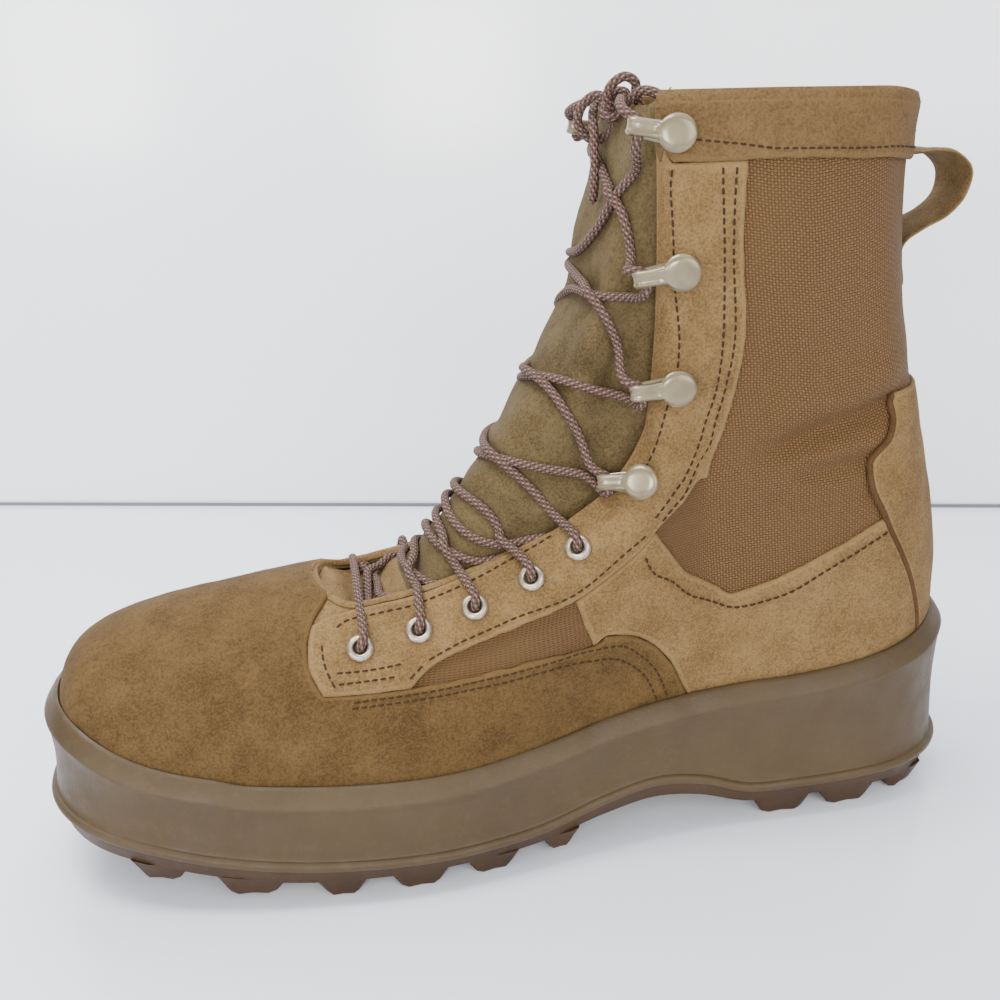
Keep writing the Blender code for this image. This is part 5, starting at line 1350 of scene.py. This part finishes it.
def build_eyelets():
    """Five rolled rings on each side, each with a disc of painted shade in it."""
    heap = Heap()
    dark = Heap()
    sides = 36
    for side in SIDES:
        for spot in EYELETS:
            place, normal, along = spot_frame(side, spot)
            across = np.cross(normal, along)
            angle = np.arange(sides) / sides * 2 * math.pi
            ring = np.cos(angle)[:, None] * along + np.sin(angle)[:, None] * across
            verts = [place + normal * (height + 0.0004) + ring * radius for radius, height in EYELET_FORM]
            rings = len(EYELET_FORM)
            faces = grid_faces(rings, sides, True)
            for k in range(sides):
                after = (k + 1) % sides
                faces.append(((rings - 1) * sides + k, (rings - 1) * sides + after, after, k))
            heap.add(np.vstack(verts), faces)
            disc = np.vstack([place + normal * height + ring * radius for radius, height in HOLE_FORM])
            dark.add(disc, [tuple(range(sides)), tuple(range(2 * sides - 1, sides - 1, -1))]
                     + grid_faces(2, sides, True, 0, True))
    names = ["eyelet_%s_%d" % (side, k) for side in SIDES for k in range(1, 6)]
    heap.make("eyelet_rings", METAL, "eyelet_metal", 50, names)
    dark.make("eyelet_shadow", HOLE_SHADE, "textile", 30)


def hook_frame(side, number):
    """Place, reach direction, across direction and normal of a hook, and the height of its sheet's foot."""
    spot = HOOKS[number]
    place, normal, _ = spot_frame(side, spot)
    aim = upper_point(np.array([side_q(side, HOOK_TIPS[number])]), np.ones(1))[0] - place
    aim = unit(aim - normal * min(np.dot(aim, normal), 0.0))
    normal = unit(normal - aim * np.dot(aim, normal))
    across = np.cross(normal, aim)
    beside = side_q(side, spot[0]) + np.linspace(-0.06, 0.06, 30)
    q, u = np.meshgrid(beside, np.linspace(spot[1] - 0.25, 1.0, 30))
    face = skin(q.ravel(), u.ravel(), OVERLAY + 0.0004) - place
    reach = face @ aim
    under = np.abs(face @ across) < HOOK_CAP * 0.62
    under &= (reach > -0.2 * HOOK_REACH) & (reach < 1.05 * HOOK_REACH)
    return place, aim, across, normal, float((face @ normal)[under].max()) + 0.0001


# Top line of the hook's sheet from its cap to its folded tip and back under: reach of HOOK_REACH,
# height of HOOK_MOUTH, half width of HOOK_CAP
HOOK_LINE = [
    (0.88, 1.06, 0.45), (0.95, 0.97, 0.45), (0.985, 0.80, 0.46), (1.00, 0.55, 0.46), (0.985, 0.30, 0.46),
    (0.95, 0.13, 0.47), (0.88, 0.04, 0.47), (0.70, 0.0, 0.50), (0.45, 0.0, 0.55), (0.10, 0.0, 0.60),
    (-0.15, 0.0, 0.45), (-0.20, 0.0, 0.25),
]


HOOK_RADIUS = HOOK_CAP * 0.93
HOOK_NECK = ((0.42, 0.475), (0.50, 0.455), (0.60, 0.45), (0.72, 0.45), (0.80, 0.45))
POST_RADIUS = 0.0030
POST_SIDES = 24


def hook_stations():
    """Stations of the hook's sheet: reach, height, half width, and 1 where it belongs to the round cap."""
    stations = []
    for angle in np.linspace(math.pi, 0.50, 22):
        half = max(math.sin(angle) * HOOK_RADIUS, 0.0006)
        stations.append((math.cos(angle) * HOOK_RADIUS, 1.14 * HOOK_MOUTH, half, 1.0))
    line = [(reach, 1.09, half) for reach, half in HOOK_NECK] + HOOK_LINE
    for reach, height, half in line:
        stations.append((reach * HOOK_REACH, height * HOOK_MOUTH, half * HOOK_RADIUS, 0.0))
    return stations


def hook_sheet():
    """Closed sheet of a hook as (reach, out, height) points, and its faces."""
    stations = hook_stations()
    ahead = unit(np.gradient(np.array([(s[0], s[1]) for s in stations]), axis=0))
    outward = np.column_stack([-ahead[:, 1], ahead[:, 0]])
    spread = np.linspace(-1, 1, 13)
    points = []
    for (reach, height, half, dome), out in zip(stations, outward):
        top = []
        low = []
        for s in spread:
            far = min(math.hypot(reach, s * half) / HOOK_RADIUS, 1.0)
            if dome:
                crown = 0.0011 * math.sqrt(max(0.0, 1 - far ** 4)) - 0.0004
            else:
                crown = 0.00035 * math.exp(-((abs(s) - 0.62) / 0.16) ** 2)
            edge = HOOK_SHEET * 0.5 * math.sqrt(max(0.03, 1 - abs(s) ** 8))
            middle = height + HOOK_SHEET / 2
            top.append((reach + out[0] * (edge + crown), s * half, middle + out[1] * (edge + crown)))
            low.append((reach - out[0] * edge, s * half, middle - out[1] * edge))
        points += top + low[::-1]
    ring = 2 * len(spread)
    faces = grid_faces(len(stations), ring, True)
    faces.append(tuple(range(ring))[::-1])
    faces.append(tuple((len(stations) - 1) * ring + k for k in range(ring)))
    return np.array(points), faces


def hook_post():
    """Round post under a hook's cap as (reach, out, height) points, and its faces."""
    angle = 2 * math.pi * np.arange(POST_SIDES) / POST_SIDES
    points = []
    for height in (0.0, 1.1 * HOOK_MOUTH):
        points += [(math.cos(a) * POST_RADIUS, math.sin(a) * POST_RADIUS, height) for a in angle]
    faces = grid_faces(2, POST_SIDES, True)
    faces += [tuple(range(POST_SIDES))[::-1], tuple(range(POST_SIDES, 2 * POST_SIDES))]
    return np.array(points), faces


def build_hooks():
    """Four hooks on each side: a domed cap, a folded neck and a post."""
    heap = Heap()
    parts = (hook_sheet(), hook_post())
    for side in SIDES:
        for number in range(len(HOOKS)):
            place, aim, across, normal, base = hook_frame(side, number)
            turn = np.array([aim, across, normal])
            for points, faces in parts:
                heap.add(place + normal * base + points @ turn, faces)
    names = ["hook_%s_%d" % (side, k) for side in SIDES for k in range(1, 5)]
    heap.make("lace_hooks", ENAMEL, "hook_enamel", 50, names)


# Lace

def other(side):
    """The opposite side."""
    return "inner" if side == "outer" else "outer"


def sign_of(side):
    """Direction of a side along y."""
    return -1.0 if side == "outer" else 1.0


def eyelet_points(side, number, leaving):
    """Lace through an eyelet, from inside to outside, or the other way."""
    place, normal, _ = spot_frame(side, EYELETS[number])
    inward = upper_point(np.array([side_q(side, EYELETS[number][0])]), np.ones(1))[0] - place
    inward = unit(inward - normal * np.dot(inward, normal))
    points = [place - normal * 0.0045 + inward * 0.004, place - normal * 0.0015 + inward * 0.0004,
              place + normal * 0.0022, place + normal * 0.0042 + inward * 0.0028]
    return points if leaving else points[::-1]


def over_edge(side, share, lift):
    """Over the throat's edge."""
    q = np.array([side_q(side, share)])
    u = np.array([0.97])
    return upper_point(q, u)[0] + upper_normal(q, u)[0] * (OVERLAY + LACE / 2 + lift)


def under_edge(side, share):
    """Between the tongue and the throat's edge."""
    return tongue_place(share, sign_of(side) * 0.93, LACE * 0.25)


def hook_points(side, number):
    """Lace round a hook's neck: in from below, through the mouth, out above."""
    place, aim, across, normal, base = hook_frame(side, number)
    if across[2] < 0:
        across = -across
    low = place + normal * (base + HOOK_SHEET + LACE * 0.45)
    return [low + aim * 0.0118 - across * 0.0054, low + aim * 0.0112 - across * 0.0026, low + aim * 0.0108,
            low + aim * 0.0124 + across * 0.0022, low + aim * 0.0168 + across * 0.0034]


# Each strand pair over the tongue, by row: throat share and place across, from the near edge (-1) to
# the ridge (0), going out over the edge of its own row
LACE_OUT = [
    [(0.290, -0.80), (0.280, -0.40), (0.290, 0.0)],
    [(0.358, -0.80), (0.367, -0.44), (0.381, 0.0)],
    [(0.404, -0.86), (0.418, -0.52), (0.427, -0.20), (0.429, 0.0)],
    [(0.455, -0.88), (0.472, -0.55), (0.472, -0.30), (0.468, 0.0)],
    [(0.503, -0.88), (0.513, -0.63), (0.521, -0.31), (0.523, 0.0)],
    [(0.564, -0.68), (0.578, -0.53), (0.591, -0.30), (0.593, 0.0)],
    [(0.621, -0.72), (0.633, -0.62), (0.643, -0.48), (0.648, -0.28), (0.652, 0.0)],
    [(0.653, -0.70), (0.662, -0.60), (0.669, -0.45), (0.674, -0.22), (0.680, 0.0)],
]
# coming in under the edge of the next row
LACE_IN = [
    [(0.300, 0.0), (0.303, -0.45), (0.328, -0.88)],
    [(0.358, 0.0), (0.367, -0.43), (0.375, -0.88)],
    [(0.412, 0.0), (0.412, -0.38), (0.418, -0.72), (0.426, -0.90)],
    [(0.449, 0.0), (0.441, -0.37), (0.443, -0.69), (0.458, -0.87)],
    [(0.511, 0.0), (0.525, -0.39), (0.534, -0.64), (0.542, -0.85)],
    [(0.589, 0.0), (0.597, -0.40), (0.594, -0.67), (0.593, -0.83)],
    [(0.647, 0.0), (0.645, -0.47), (0.643, -0.72)],
    [(0.659, -0.05), (0.665, -0.25), (0.672, -0.42), (0.674, -0.59)],
]
LACE_STEP = 0.0011


def strand_shares(number, side):
    """Both halves of a strand that leaves this side at a row and ends on the other side at the next."""
    out, into = LACE_OUT[number], LACE_IN[number]
    if side == "outer":
        last = into[-1][0] + 0.008
        return out + [(out[-1][0] * 0.55 + last * 0.45, 0.45), (last, 0.86)]
    start = out[0][0] - 0.004
    return [(start, 0.86), (start * 0.5 + into[0][0] * 0.5, 0.45)] + into


def lay_strand(number, side):
    """Points of one strand over the tongue."""
    return [tongue_place(share, across, LACE * 0.52) for share, across in strand_shares(number, side)]


def eased(line, rounds, held):
    """A fine line with its small kinks smoothed out, some points at both ends left alone."""
    soft = line.copy()
    first, last = held[0], len(line) - held[1]
    for _ in range(rounds):
        soft[first:last] = (soft[first - 1:last - 1] + soft[first + 1:last + 1]) / 2
    return soft


def lifted(line, over):
    """A strand's fine line raised where it crosses over another line."""
    gap = np.min(np.linalg.norm(line[:, None] - over[None], axis=2), axis=1)
    raised = line.copy()
    raised[:, 0] -= LACE * 0.85 * np.exp(-(gap / (LACE * 0.95)) ** 2)
    raised[:, 2] += LACE * 0.70 * np.exp(-(gap / (LACE * 0.95)) ** 2)
    return raised


# Place of the knot over the collar's front: of LENGTH and of BALL_HALF
KNOT_PLACE = (0.6045, -0.12)
# Number of crossings that start at an eyelet's row, and points at a strand's ends that smoothing leaves
EYELET_ROWS = 5
HELD_EYELET = 14
HELD_HOOK = 4
SMOOTHING = 9


def bar_route():
    """The lowest bar of the lace, in an arch over the tongue's foot."""
    ends = [eyelet_points(side, 0, True) for side in SIDES]
    middle = (ends[0][3] + ends[1][3]) / 2
    middle[2] = max(middle[2] + 0.003, tongue_line(LACE_ROWS[0])[2] + 0.0035)
    arch = [ends[0][3] * (1 - t) + ends[1][3] * t for t in (0.25, 0.75)]
    for point in arch:
        point[2] += (middle[2] - ends[0][3][2]) * 0.80
    return ends[0] + [arch[0], middle, arch[1]] + ends[1][::-1]


def crossing_line(number, side):
    """One strand of a crossing, from its eyelet or hook to the next row's on the other side."""
    far = other(side)
    if number == 0:
        start = [under_edge(side, LACE_ROWS[0] - 0.014)]
    elif number < EYELET_ROWS:
        start = eyelet_points(side, number, True)
        start.append(over_edge(side, LACE_OUT[number][0][0] - 0.002, 0.0006))
    else:
        start = hook_points(side, number - EYELET_ROWS)[2:]
    if number < EYELET_ROWS - 1:
        stop = [under_edge(far, LACE_IN[number][-1][0] + 0.018)]
        stop += eyelet_points(far, number + 1, True)[:2]
    else:
        stop = hook_points(far, number - EYELET_ROWS + 1)[:3]
    held = (HELD_EYELET if number < EYELET_ROWS else HELD_HOOK,
            HELD_EYELET if number < EYELET_ROWS - 1 else HELD_HOOK)
    return eased(curve_through(start + lay_strand(number, side) + stop, LACE_STEP), SMOOTHING, held)


def build_lace():
    """The lace from the bar over eight crossings up to the knot."""
    heap = Heap()
    lines = [curve_through(bar_route(), LACE_STEP)]
    for number in range(len(LACE_OUT)):
        first, second = (crossing_line(number, side) for side in SIDES)
        lines += [lifted(first, second), second]
    for side in SIDES:
        beside = KNOT_PLACE[1] * BALL_HALF + sign_of(side) * 0.002
        knot = np.array([KNOT_PLACE[0] * LENGTH, beside, 0.988 * COLLAR_HEIGHT])
        end = hook_points(side, 3)
        rest = end[2:] + [(end[-1] + knot) / 2 + (0, 0, 0.003), knot]
        lines.append(eased(curve_through(rest, LACE_STEP), SMOOTHING, (HELD_HOOK, 1)))
    for line in lines:
        heap.add(*tube(line, LACE / 2, 12))
    names = ["lace_bar"] + ["lace_crossing_%d" % k for k in range(1, 9)]
    heap.make("lacing", LACE_SKIN, "lace", 60, names)


# The knot's second turn, from its centre, in metres
KNOT_TURN = [
    (0.001, 0.002, -0.002), (-0.005, 0.006, 0.003), (-0.009, 0.009, 0.0), (-0.010, 0.011, -0.006),
    (-0.005, 0.010, -0.011), (0.000, 0.006, -0.008), (0.002, 0.002, -0.003),
]


def build_knot():
    """The tied bundle over the collar's front, built of turns of the lace."""
    heap = Heap()
    centre = np.array([KNOT_PLACE[0] * LENGTH, KNOT_PLACE[1] * BALL_HALF, 0.990 * COLLAR_HEIGHT])
    turn = []
    for angle in np.linspace(0, 2 * math.pi * 1.7, 26):
        turn.append(centre + np.array([math.cos(angle) * 0.0036, math.sin(angle) * 0.0030 + angle * 0.0004,
                                       math.sin(angle + 0.6) * 0.0040]))
    for route in (turn, [centre + step for step in KNOT_TURN]):
        heap.add(*tube(curve_through(route, 0.001), LACE / 2, 12))
    heap.make("knot_bundle", LACE_SKIN, "lace", 60)


def build_cords():
    """The lace's loose pieces at the collar."""
    for name, route, far_end, lay in (("lace_bow", LACE_BOW, "object", "loose"),
                                      ("lace_tucked_end", LACE_TUCKED_END, "bare", "loose"),
                                      ("lace_hanging_end", LACE_HANGING_END, "bare", "hanging")):
        points = np.array(route) * (LENGTH, BALL_HALF, COLLAR_HEIGHT)
        line = curve_through(points, LACE_STEP)
        verts, faces, uv = tube(line, LACE / 2, 12)
        item = make(name + "_cord", verts, faces, LACE_SKIN, 60, uv, stands_for=[name])


# Pull loop

def build_pull_loop():
    """The suede strap that stands off the collar's back."""
    def back(u, lift):
        q, u = np.array([0.5]), np.array([u])
        return upper_point(q, u)[0] + upper_normal(q, u)[0] * lift

    seat = LOOP_STRAP / 2 + 0.0006
    high = back(0.935, seat + OVERLAY)
    low_top = back(0.79, seat)
    path = [back(0.962, seat + OVERLAY), high, high + (0.009, 0, 0), high + (0.016, 0, -0.001),
            high + (0.0225, 0, -0.007), high + (0.0215, 0, -0.015), high + (0.015, 0, -0.0215),
            high + (0.007, 0, -0.0255), low_top + (0.001, 0, 0.001), back(0.73, seat)]
    line = curve_through(path, 0.0012)
    ahead = unit(np.gradient(line, axis=0))
    out = np.column_stack([ahead[:, 2], np.zeros(len(line)), -ahead[:, 0]])
    across = np.linspace(-1, 1, 15)
    verts = []
    edge = []
    for place, way in zip(line, out):
        for layer in (1, -1):
            spread = across if layer == 1 else across[::-1]
            for s in spread:
                thick = LOOP_STRAP / 2 * math.sqrt(max(0.1, 1 - abs(s) ** 14))
                wave = 0.0003 * math.sin(place[2] * 330 + s * 2)
                verts.append(place + way * (layer * thick + wave) + np.array([0, s * LOOP_HALF, 0]))
                edge.append((1 - abs(s)) * LOOP_HALF * 1000)
    ring = 2 * len(across)
    faces = grid_faces(len(line), ring, True)
    kinds = [0 if (k % ring) < len(across) else 1 for k in range(len(faces))]
    faces += [tuple(range(ring))[::-1], tuple((len(line) - 1) * ring + k for k in range(ring))]
    kinds += [0, 0]
    return make("pull_strap", verts, faces, [SUEDE, STRAP_IN], 60, values={"edge": edge},
                kinds=kinds, stands_for=["pull_loop"])


# Sole

def sole_ring(q, inset, column, lift):
    """Points round the sole, inset from its outline, on one of its levels."""
    place, _ = outline(q, inset)
    edge, _ = outline(q, 0)
    return np.column_stack([place, level(edge[:, 0], column) + lift])


def bumper(q):
    """Extra height of the sole's top edge round the toe, where its rand ends in a small step."""
    edge, _ = outline(q, 0)
    return 0.0016 / (1 + np.exp((edge[:, 0] - 0.062) / 0.0022))


def end_strips(count, rows):
    """Faces that close the first and the last ring of a sole, as strips across it."""
    faces = []
    half = count // 2
    for start, flip in ((0, True), ((rows - 1) * count, False)):
        strip = [(start, start + 1, start + count - 1)]
        for k in range(1, half - 1):
            strip.append((start + k, start + k + 1, start + count - k - 1, start + count - k))
        strip.append((start + half - 1, start + half, start + half + 1))
        faces += [f[::-1] for f in strip] if flip else strip
    return faces


# Section of the midsole: inset and lift of its bead over the bead's foot, then inset and drop of its
# shoulder under the top edge
BEAD_FORM = [
    (0.0060, GAP), (0.0004, GAP), (-0.0006, 0.0002), (-BEAD_PROUD, 0.0009),
    (-BEAD_PROUD - 0.0002, BEAD_HEIGHT / 2), (-BEAD_PROUD, BEAD_HEIGHT - 0.0009),
    (-0.0006, BEAD_HEIGHT - 0.0002), (0.0004, BEAD_HEIGHT), (0.0009, BEAD_HEIGHT + 0.0008),
]
SHOULDER_FORM = [
    (0.0002, -SHOULDER_DROP - 0.0008), (0.0001, -SHOULDER_DROP), (0.0006, -SHOULDER_DROP + 0.0009),
    (SHOULDER_INSET * 0.6, -0.0022), (SHOULDER_INSET, -0.0006), (SHOULDER_INSET + 0.0006, 0.0001),
    (SHOULDER_INSET + 0.0016, 0.0004),
]


def build_midsole():
    """The foamed wall from its bead to its shoulder, with a seat for the upper."""
    count = 460
    q = np.arange(count) / count
    lip = bumper(q)
    points = [sole_ring(q, inset, BEAD, lift) for inset, lift in BEAD_FORM]
    low = points[-1]
    high = sole_ring(q, 0.0004, TOP, -SHOULDER_DROP - 0.0012)
    high[:, 2] += lip
    for t in np.linspace(0.12, 0.94, 8):
        mid = low + (high - low) * t
        place, _ = outline(q, 0.0006 + 0.0010 * math.sin(t * math.pi))
        mid[:, :2] = place
        points.append(mid)
    for inset, drop in SHOULDER_FORM:
        ring = sole_ring(q, inset, TOP, drop)
        ring[:, 2] += lip
        points.append(ring)
    points.append(sole_ring(q, WELT_INSET - 0.0006, TOP, -0.0004))
    points.append(sole_ring(q, WELT_INSET + 0.0010, TOP, -WELT_DEPTH))
    faces = grid_faces(len(points), count, True) + end_strips(count, len(points))
    return make("midsole_foam", np.vstack(points), faces, MIDSOLE, 40, stands_for=["midsole"])


LUG_FLARE = 0.0028
# How deep a lug's root sits in the slab, half the aisle between inner lugs and the gap to the edge
# lugs, and how far the inner lugs stand behind them
LUG_SINK = 0.0008
HALF_AISLE = 0.002
LUG_CLEAR = 0.005
LUG_STAGGER = 0.008
# Section of a lug: inset and share of its height
LUG_FORM = ((-0.0002, 0.0), (0.0004, 0.35), (0.0010, 0.75), (0.0014, 0.93), (0.0022, 1.0))


def level_at(x, column):
    """Height of one of the sole's levels at one place."""
    return float(level(np.array([x]), column)[0])


def lug(heap, corners, foot):
    """One lug with sloped sides and softened edges."""
    roots = [level_at(corner[0], SLAB) + LUG_SINK for corner in corners]
    corners = np.array(corners, float)
    rounded = []
    for k in range(4):
        for t in (0.16, 0.5, 0.84):
            rounded.append(corners[k] + (corners[(k + 1) % 4] - corners[k]) * t)
    rounded = np.array(rounded)
    reach = corners.mean(axis=0) - rounded
    length = np.linalg.norm(reach, axis=1)[:, None]
    slope = np.interp(np.arange(12) / 3 % 4, [0, 1, 2, 3, 4], [*roots, roots[0]])
    rings = []
    for inset, share in LUG_FORM:
        plan = rounded + reach / length * inset * 1.4
        plan[:, 0] += np.sign(reach[:, 0]) * -LUG_FLARE * (1 - share)
        rings.append(np.column_stack([plan, slope * (1 - share) + foot * share]))
    faces = grid_faces(5, 12, True)
    faces += [tuple(range(12))[::-1], tuple(range(48, 60))]
    heap.add(np.vstack(rings), faces)


# Section of the slab: inset, level and lift
SLAB_FORM = [
    (SLAB_INSET + 0.004, BEAD, 0.0), (SLAB_INSET, BEAD, 0.0), (SLAB_INSET - 0.0003, BEAD, -0.0008),
    (SLAB_INSET, BEAD, -0.0016), (SLAB_INSET + 0.0008, SLAB, 0.0006), (SLAB_INSET + 0.0016, SLAB, 0.0),
]


def build_outsole():
    """Rubber slab with a lug at each edge and two lugs between them in each row."""
    count = 300
    q = np.arange(count) / count
    heap = Heap()
    verts = np.vstack([sole_ring(q, inset, column, lift) for inset, column, lift in SLAB_FORM])
    faces = grid_faces(len(SLAB_FORM), count, True) + end_strips(count, len(SLAB_FORM))
    heap.add(verts, [f[::-1] for f in faces])
    for start, stop in LUGS:
        foot = level_at((start + stop) / 2 * LENGTH, GROUND)
        for side in SIDES:
            ends = np.array([edge_q(start * LENGTH, side), edge_q(stop * LENGTH, side)])
            outer, _ = outline(ends, SLAB_INSET + 0.0012)
            inner, _ = outline(ends, LUG_WIDTH)
            lug(heap, [outer[0], outer[1], inner[1], inner[0]], foot)
        if stop >= 0.95:
            continue
        outer, _ = outline(np.array([edge_q(start * LENGTH, side) for side in SIDES]), 0)
        low = outer[0][1] + LUG_WIDTH + LUG_CLEAR
        high = outer[1][1] - LUG_WIDTH - LUG_CLEAR
        x0, x1 = start * LENGTH + LUG_STAGGER, stop * LENGTH + LUG_STAGGER
        foot = level_at((x0 + x1) / 2, GROUND)
        middle = (low + high) / 2
        for a, b in ((low, middle - HALF_AISLE), (middle + HALF_AISLE, high)):
            lug(heap, [(x0, a), (x1, a), (x1, b), (x0, b)], foot)
    heap.make("tread", OUTSOLE, "outsole", 45, ["outsole"])


def dress_insole():
    """Woven cover on the insole."""
    n = Nodes("insole_cloth")
    grain = n.noise(900, 3, 0.6)
    colour = n.mix(grain, (0.055, 0.045, 0.032), (0.13, 0.105, 0.075))
    material = n.finish(colour, 0.95, n.bump(grain, 0.0003, 0.7))
    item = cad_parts["insole"]
    item.material_slots[0].material = material


# Floor, light and camera

# Foot of the wall on the floor, left and right
WALL_FOOT = [(-0.2846, 0.4243), (0.3705, 0.2567)]
# Step from the wall's face to the dark joint at its foot, and the joint's height
JOINT_STEP = np.array([0.0003, 0.0012])
JOINT_HEIGHT = 0.0024
WALL_HEIGHT = 2.4
# How far floor and wall go on beside the wall's two given feet
WALL_REACH = 3
SKY_COLOUR = (0.86, 0.89, 0.95, 1)
SKY_POWER = 0.76
# Lamps: name, place, what it points at, size, power, colour
LAMPS = [
    ("lamp_near", (-0.425, -0.853, 0.32), (0, 0, 0.12), 0.24, 5, (1.0, 0.98, 0.95)),
    ("lamp_far", (-1.05, -0.72, 0.33), (0, 0, 0.12), 0.24, 5, (1.0, 0.98, 0.95)),
    ("front", (0.35, -1.10, 0.60), (0.05, 0, 0.12), 0.9, 13, (1.0, 0.98, 0.96)),
    ("top", (0.05, -0.15, 1.50), (0, 0, 0.1), 1.2, 8, (0.97, 0.98, 1.0)),
    ("wall_wash", (-0.35, 0.02, 1.00), (-0.20, 0.42, 0.75), 0.5, 17, (0.98, 0.99, 1.0)),
]


def pale_plane(name, corners, colour, rough):
    """One flat, slightly mottled surface of the surroundings."""
    mesh = bpy.data.meshes.new(name)
    mesh.from_pydata(corners, [], [(0, 1, 2, 3)])
    item = bpy.data.objects.new(name, mesh)
    bpy.context.collection.objects.link(item)
    n = Nodes("pale_" + name)
    mottle = n.mix(n.ramp(n.noise(3, 2, 0.5), 0.3, 0.7), colour, tuple(c * 0.96 for c in colour))
    mesh.materials.append(n.finish(mottle, rough, Specular_IOR_Level=0.35))


def upright(left, right, height):
    """Corners of an upright plane over a line on the floor."""
    return [(*left, 0), (*right, 0), (*right, height), (*left, height)]


def lamp(name, place, aim, size, power, colour):
    """One soft square lamp."""
    data = bpy.data.lights.new(name, "AREA")
    data.size = size
    data.energy = power
    data.color = colour
    light = bpy.data.objects.new(name, data)
    light.location = place
    light.rotation_euler = (Vector(aim) - Vector(place)).to_track_quat("-Z", "Y").to_euler()
    bpy.context.collection.objects.link(light)


def build_stage():
    """Pale glossy floor with a white wall behind it, and large soft lights."""
    near, far = np.array(WALL_FOOT)
    way = (far - near) / np.linalg.norm(far - near)
    left, right = (near - way * WALL_REACH), (far + way * WALL_REACH)
    floor = [(-3.2, -2.5, 0), (3.2, -2.5, 0), (*right, 0), (*left, 0)]
    joint = upright(left - JOINT_STEP, right - JOINT_STEP, JOINT_HEIGHT)
    pale_plane("floor", floor, (0.84, 0.87, 0.94), 0.20)
    pale_plane("wall", upright(left, right, WALL_HEIGHT), (0.93, 0.94, 0.96), 0.16)
    pale_plane("wall_joint", joint, (0.16, 0.17, 0.20), 0.6)
    world = bpy.data.worlds.new("studio")
    bpy.context.scene.world = world
    world.use_nodes = True
    world.node_tree.nodes["Background"].inputs[0].default_value = SKY_COLOUR
    world.node_tree.nodes["Background"].inputs[1].default_value = SKY_POWER
    for row in LAMPS:
        lamp(*row)


# Camera: place, angles in degrees, focal length and shift as shares of the picture's width
CAMERA_AT = np.array([0.096467, -0.377122, 0.246042])
YAW, PITCH, ROLL = 10.08, 18.23, -1.26
FOCAL_SHARE = 1.13578
CENTRE_SHIFT = (-0.00516, -0.00460)


def build_camera():
    """The camera of the picture."""
    yaw, pitch, roll = (math.radians(a) for a in (YAW, PITCH, ROLL))
    look = Vector((math.sin(yaw) * math.cos(pitch), math.cos(yaw) * math.cos(pitch), -math.sin(pitch)))
    right = Vector((math.cos(yaw), -math.sin(yaw), 0))
    up = right.cross(look)
    right_rolled = right * math.cos(roll) + up * math.sin(roll)
    up_rolled = up * math.cos(roll) - right * math.sin(roll)
    data = bpy.data.cameras.new("camera")
    data.sensor_width = 36.0
    data.lens = 36.0 * FOCAL_SHARE
    data.shift_x, data.shift_y = CENTRE_SHIFT
    data.clip_start = 0.01
    camera = bpy.data.objects.new("camera", data)
    turn = Matrix((right_rolled, up_rolled, -look)).transposed().to_4x4()
    camera.matrix_world = Matrix.Translation(Vector(CAMERA_AT + SHIFT)) @ turn
    bpy.context.collection.objects.link(camera)
    bpy.context.scene.camera = camera


build_camera()
build_cords()
build_shell()
build_panels()
build_seams()
build_stitches()
build_rim()
build_tongue()
build_eyelets()
build_hooks()
build_lace()
build_knot()
build_pull_loop()
build_midsole()
build_outsole()
dress_insole()
build_stage()
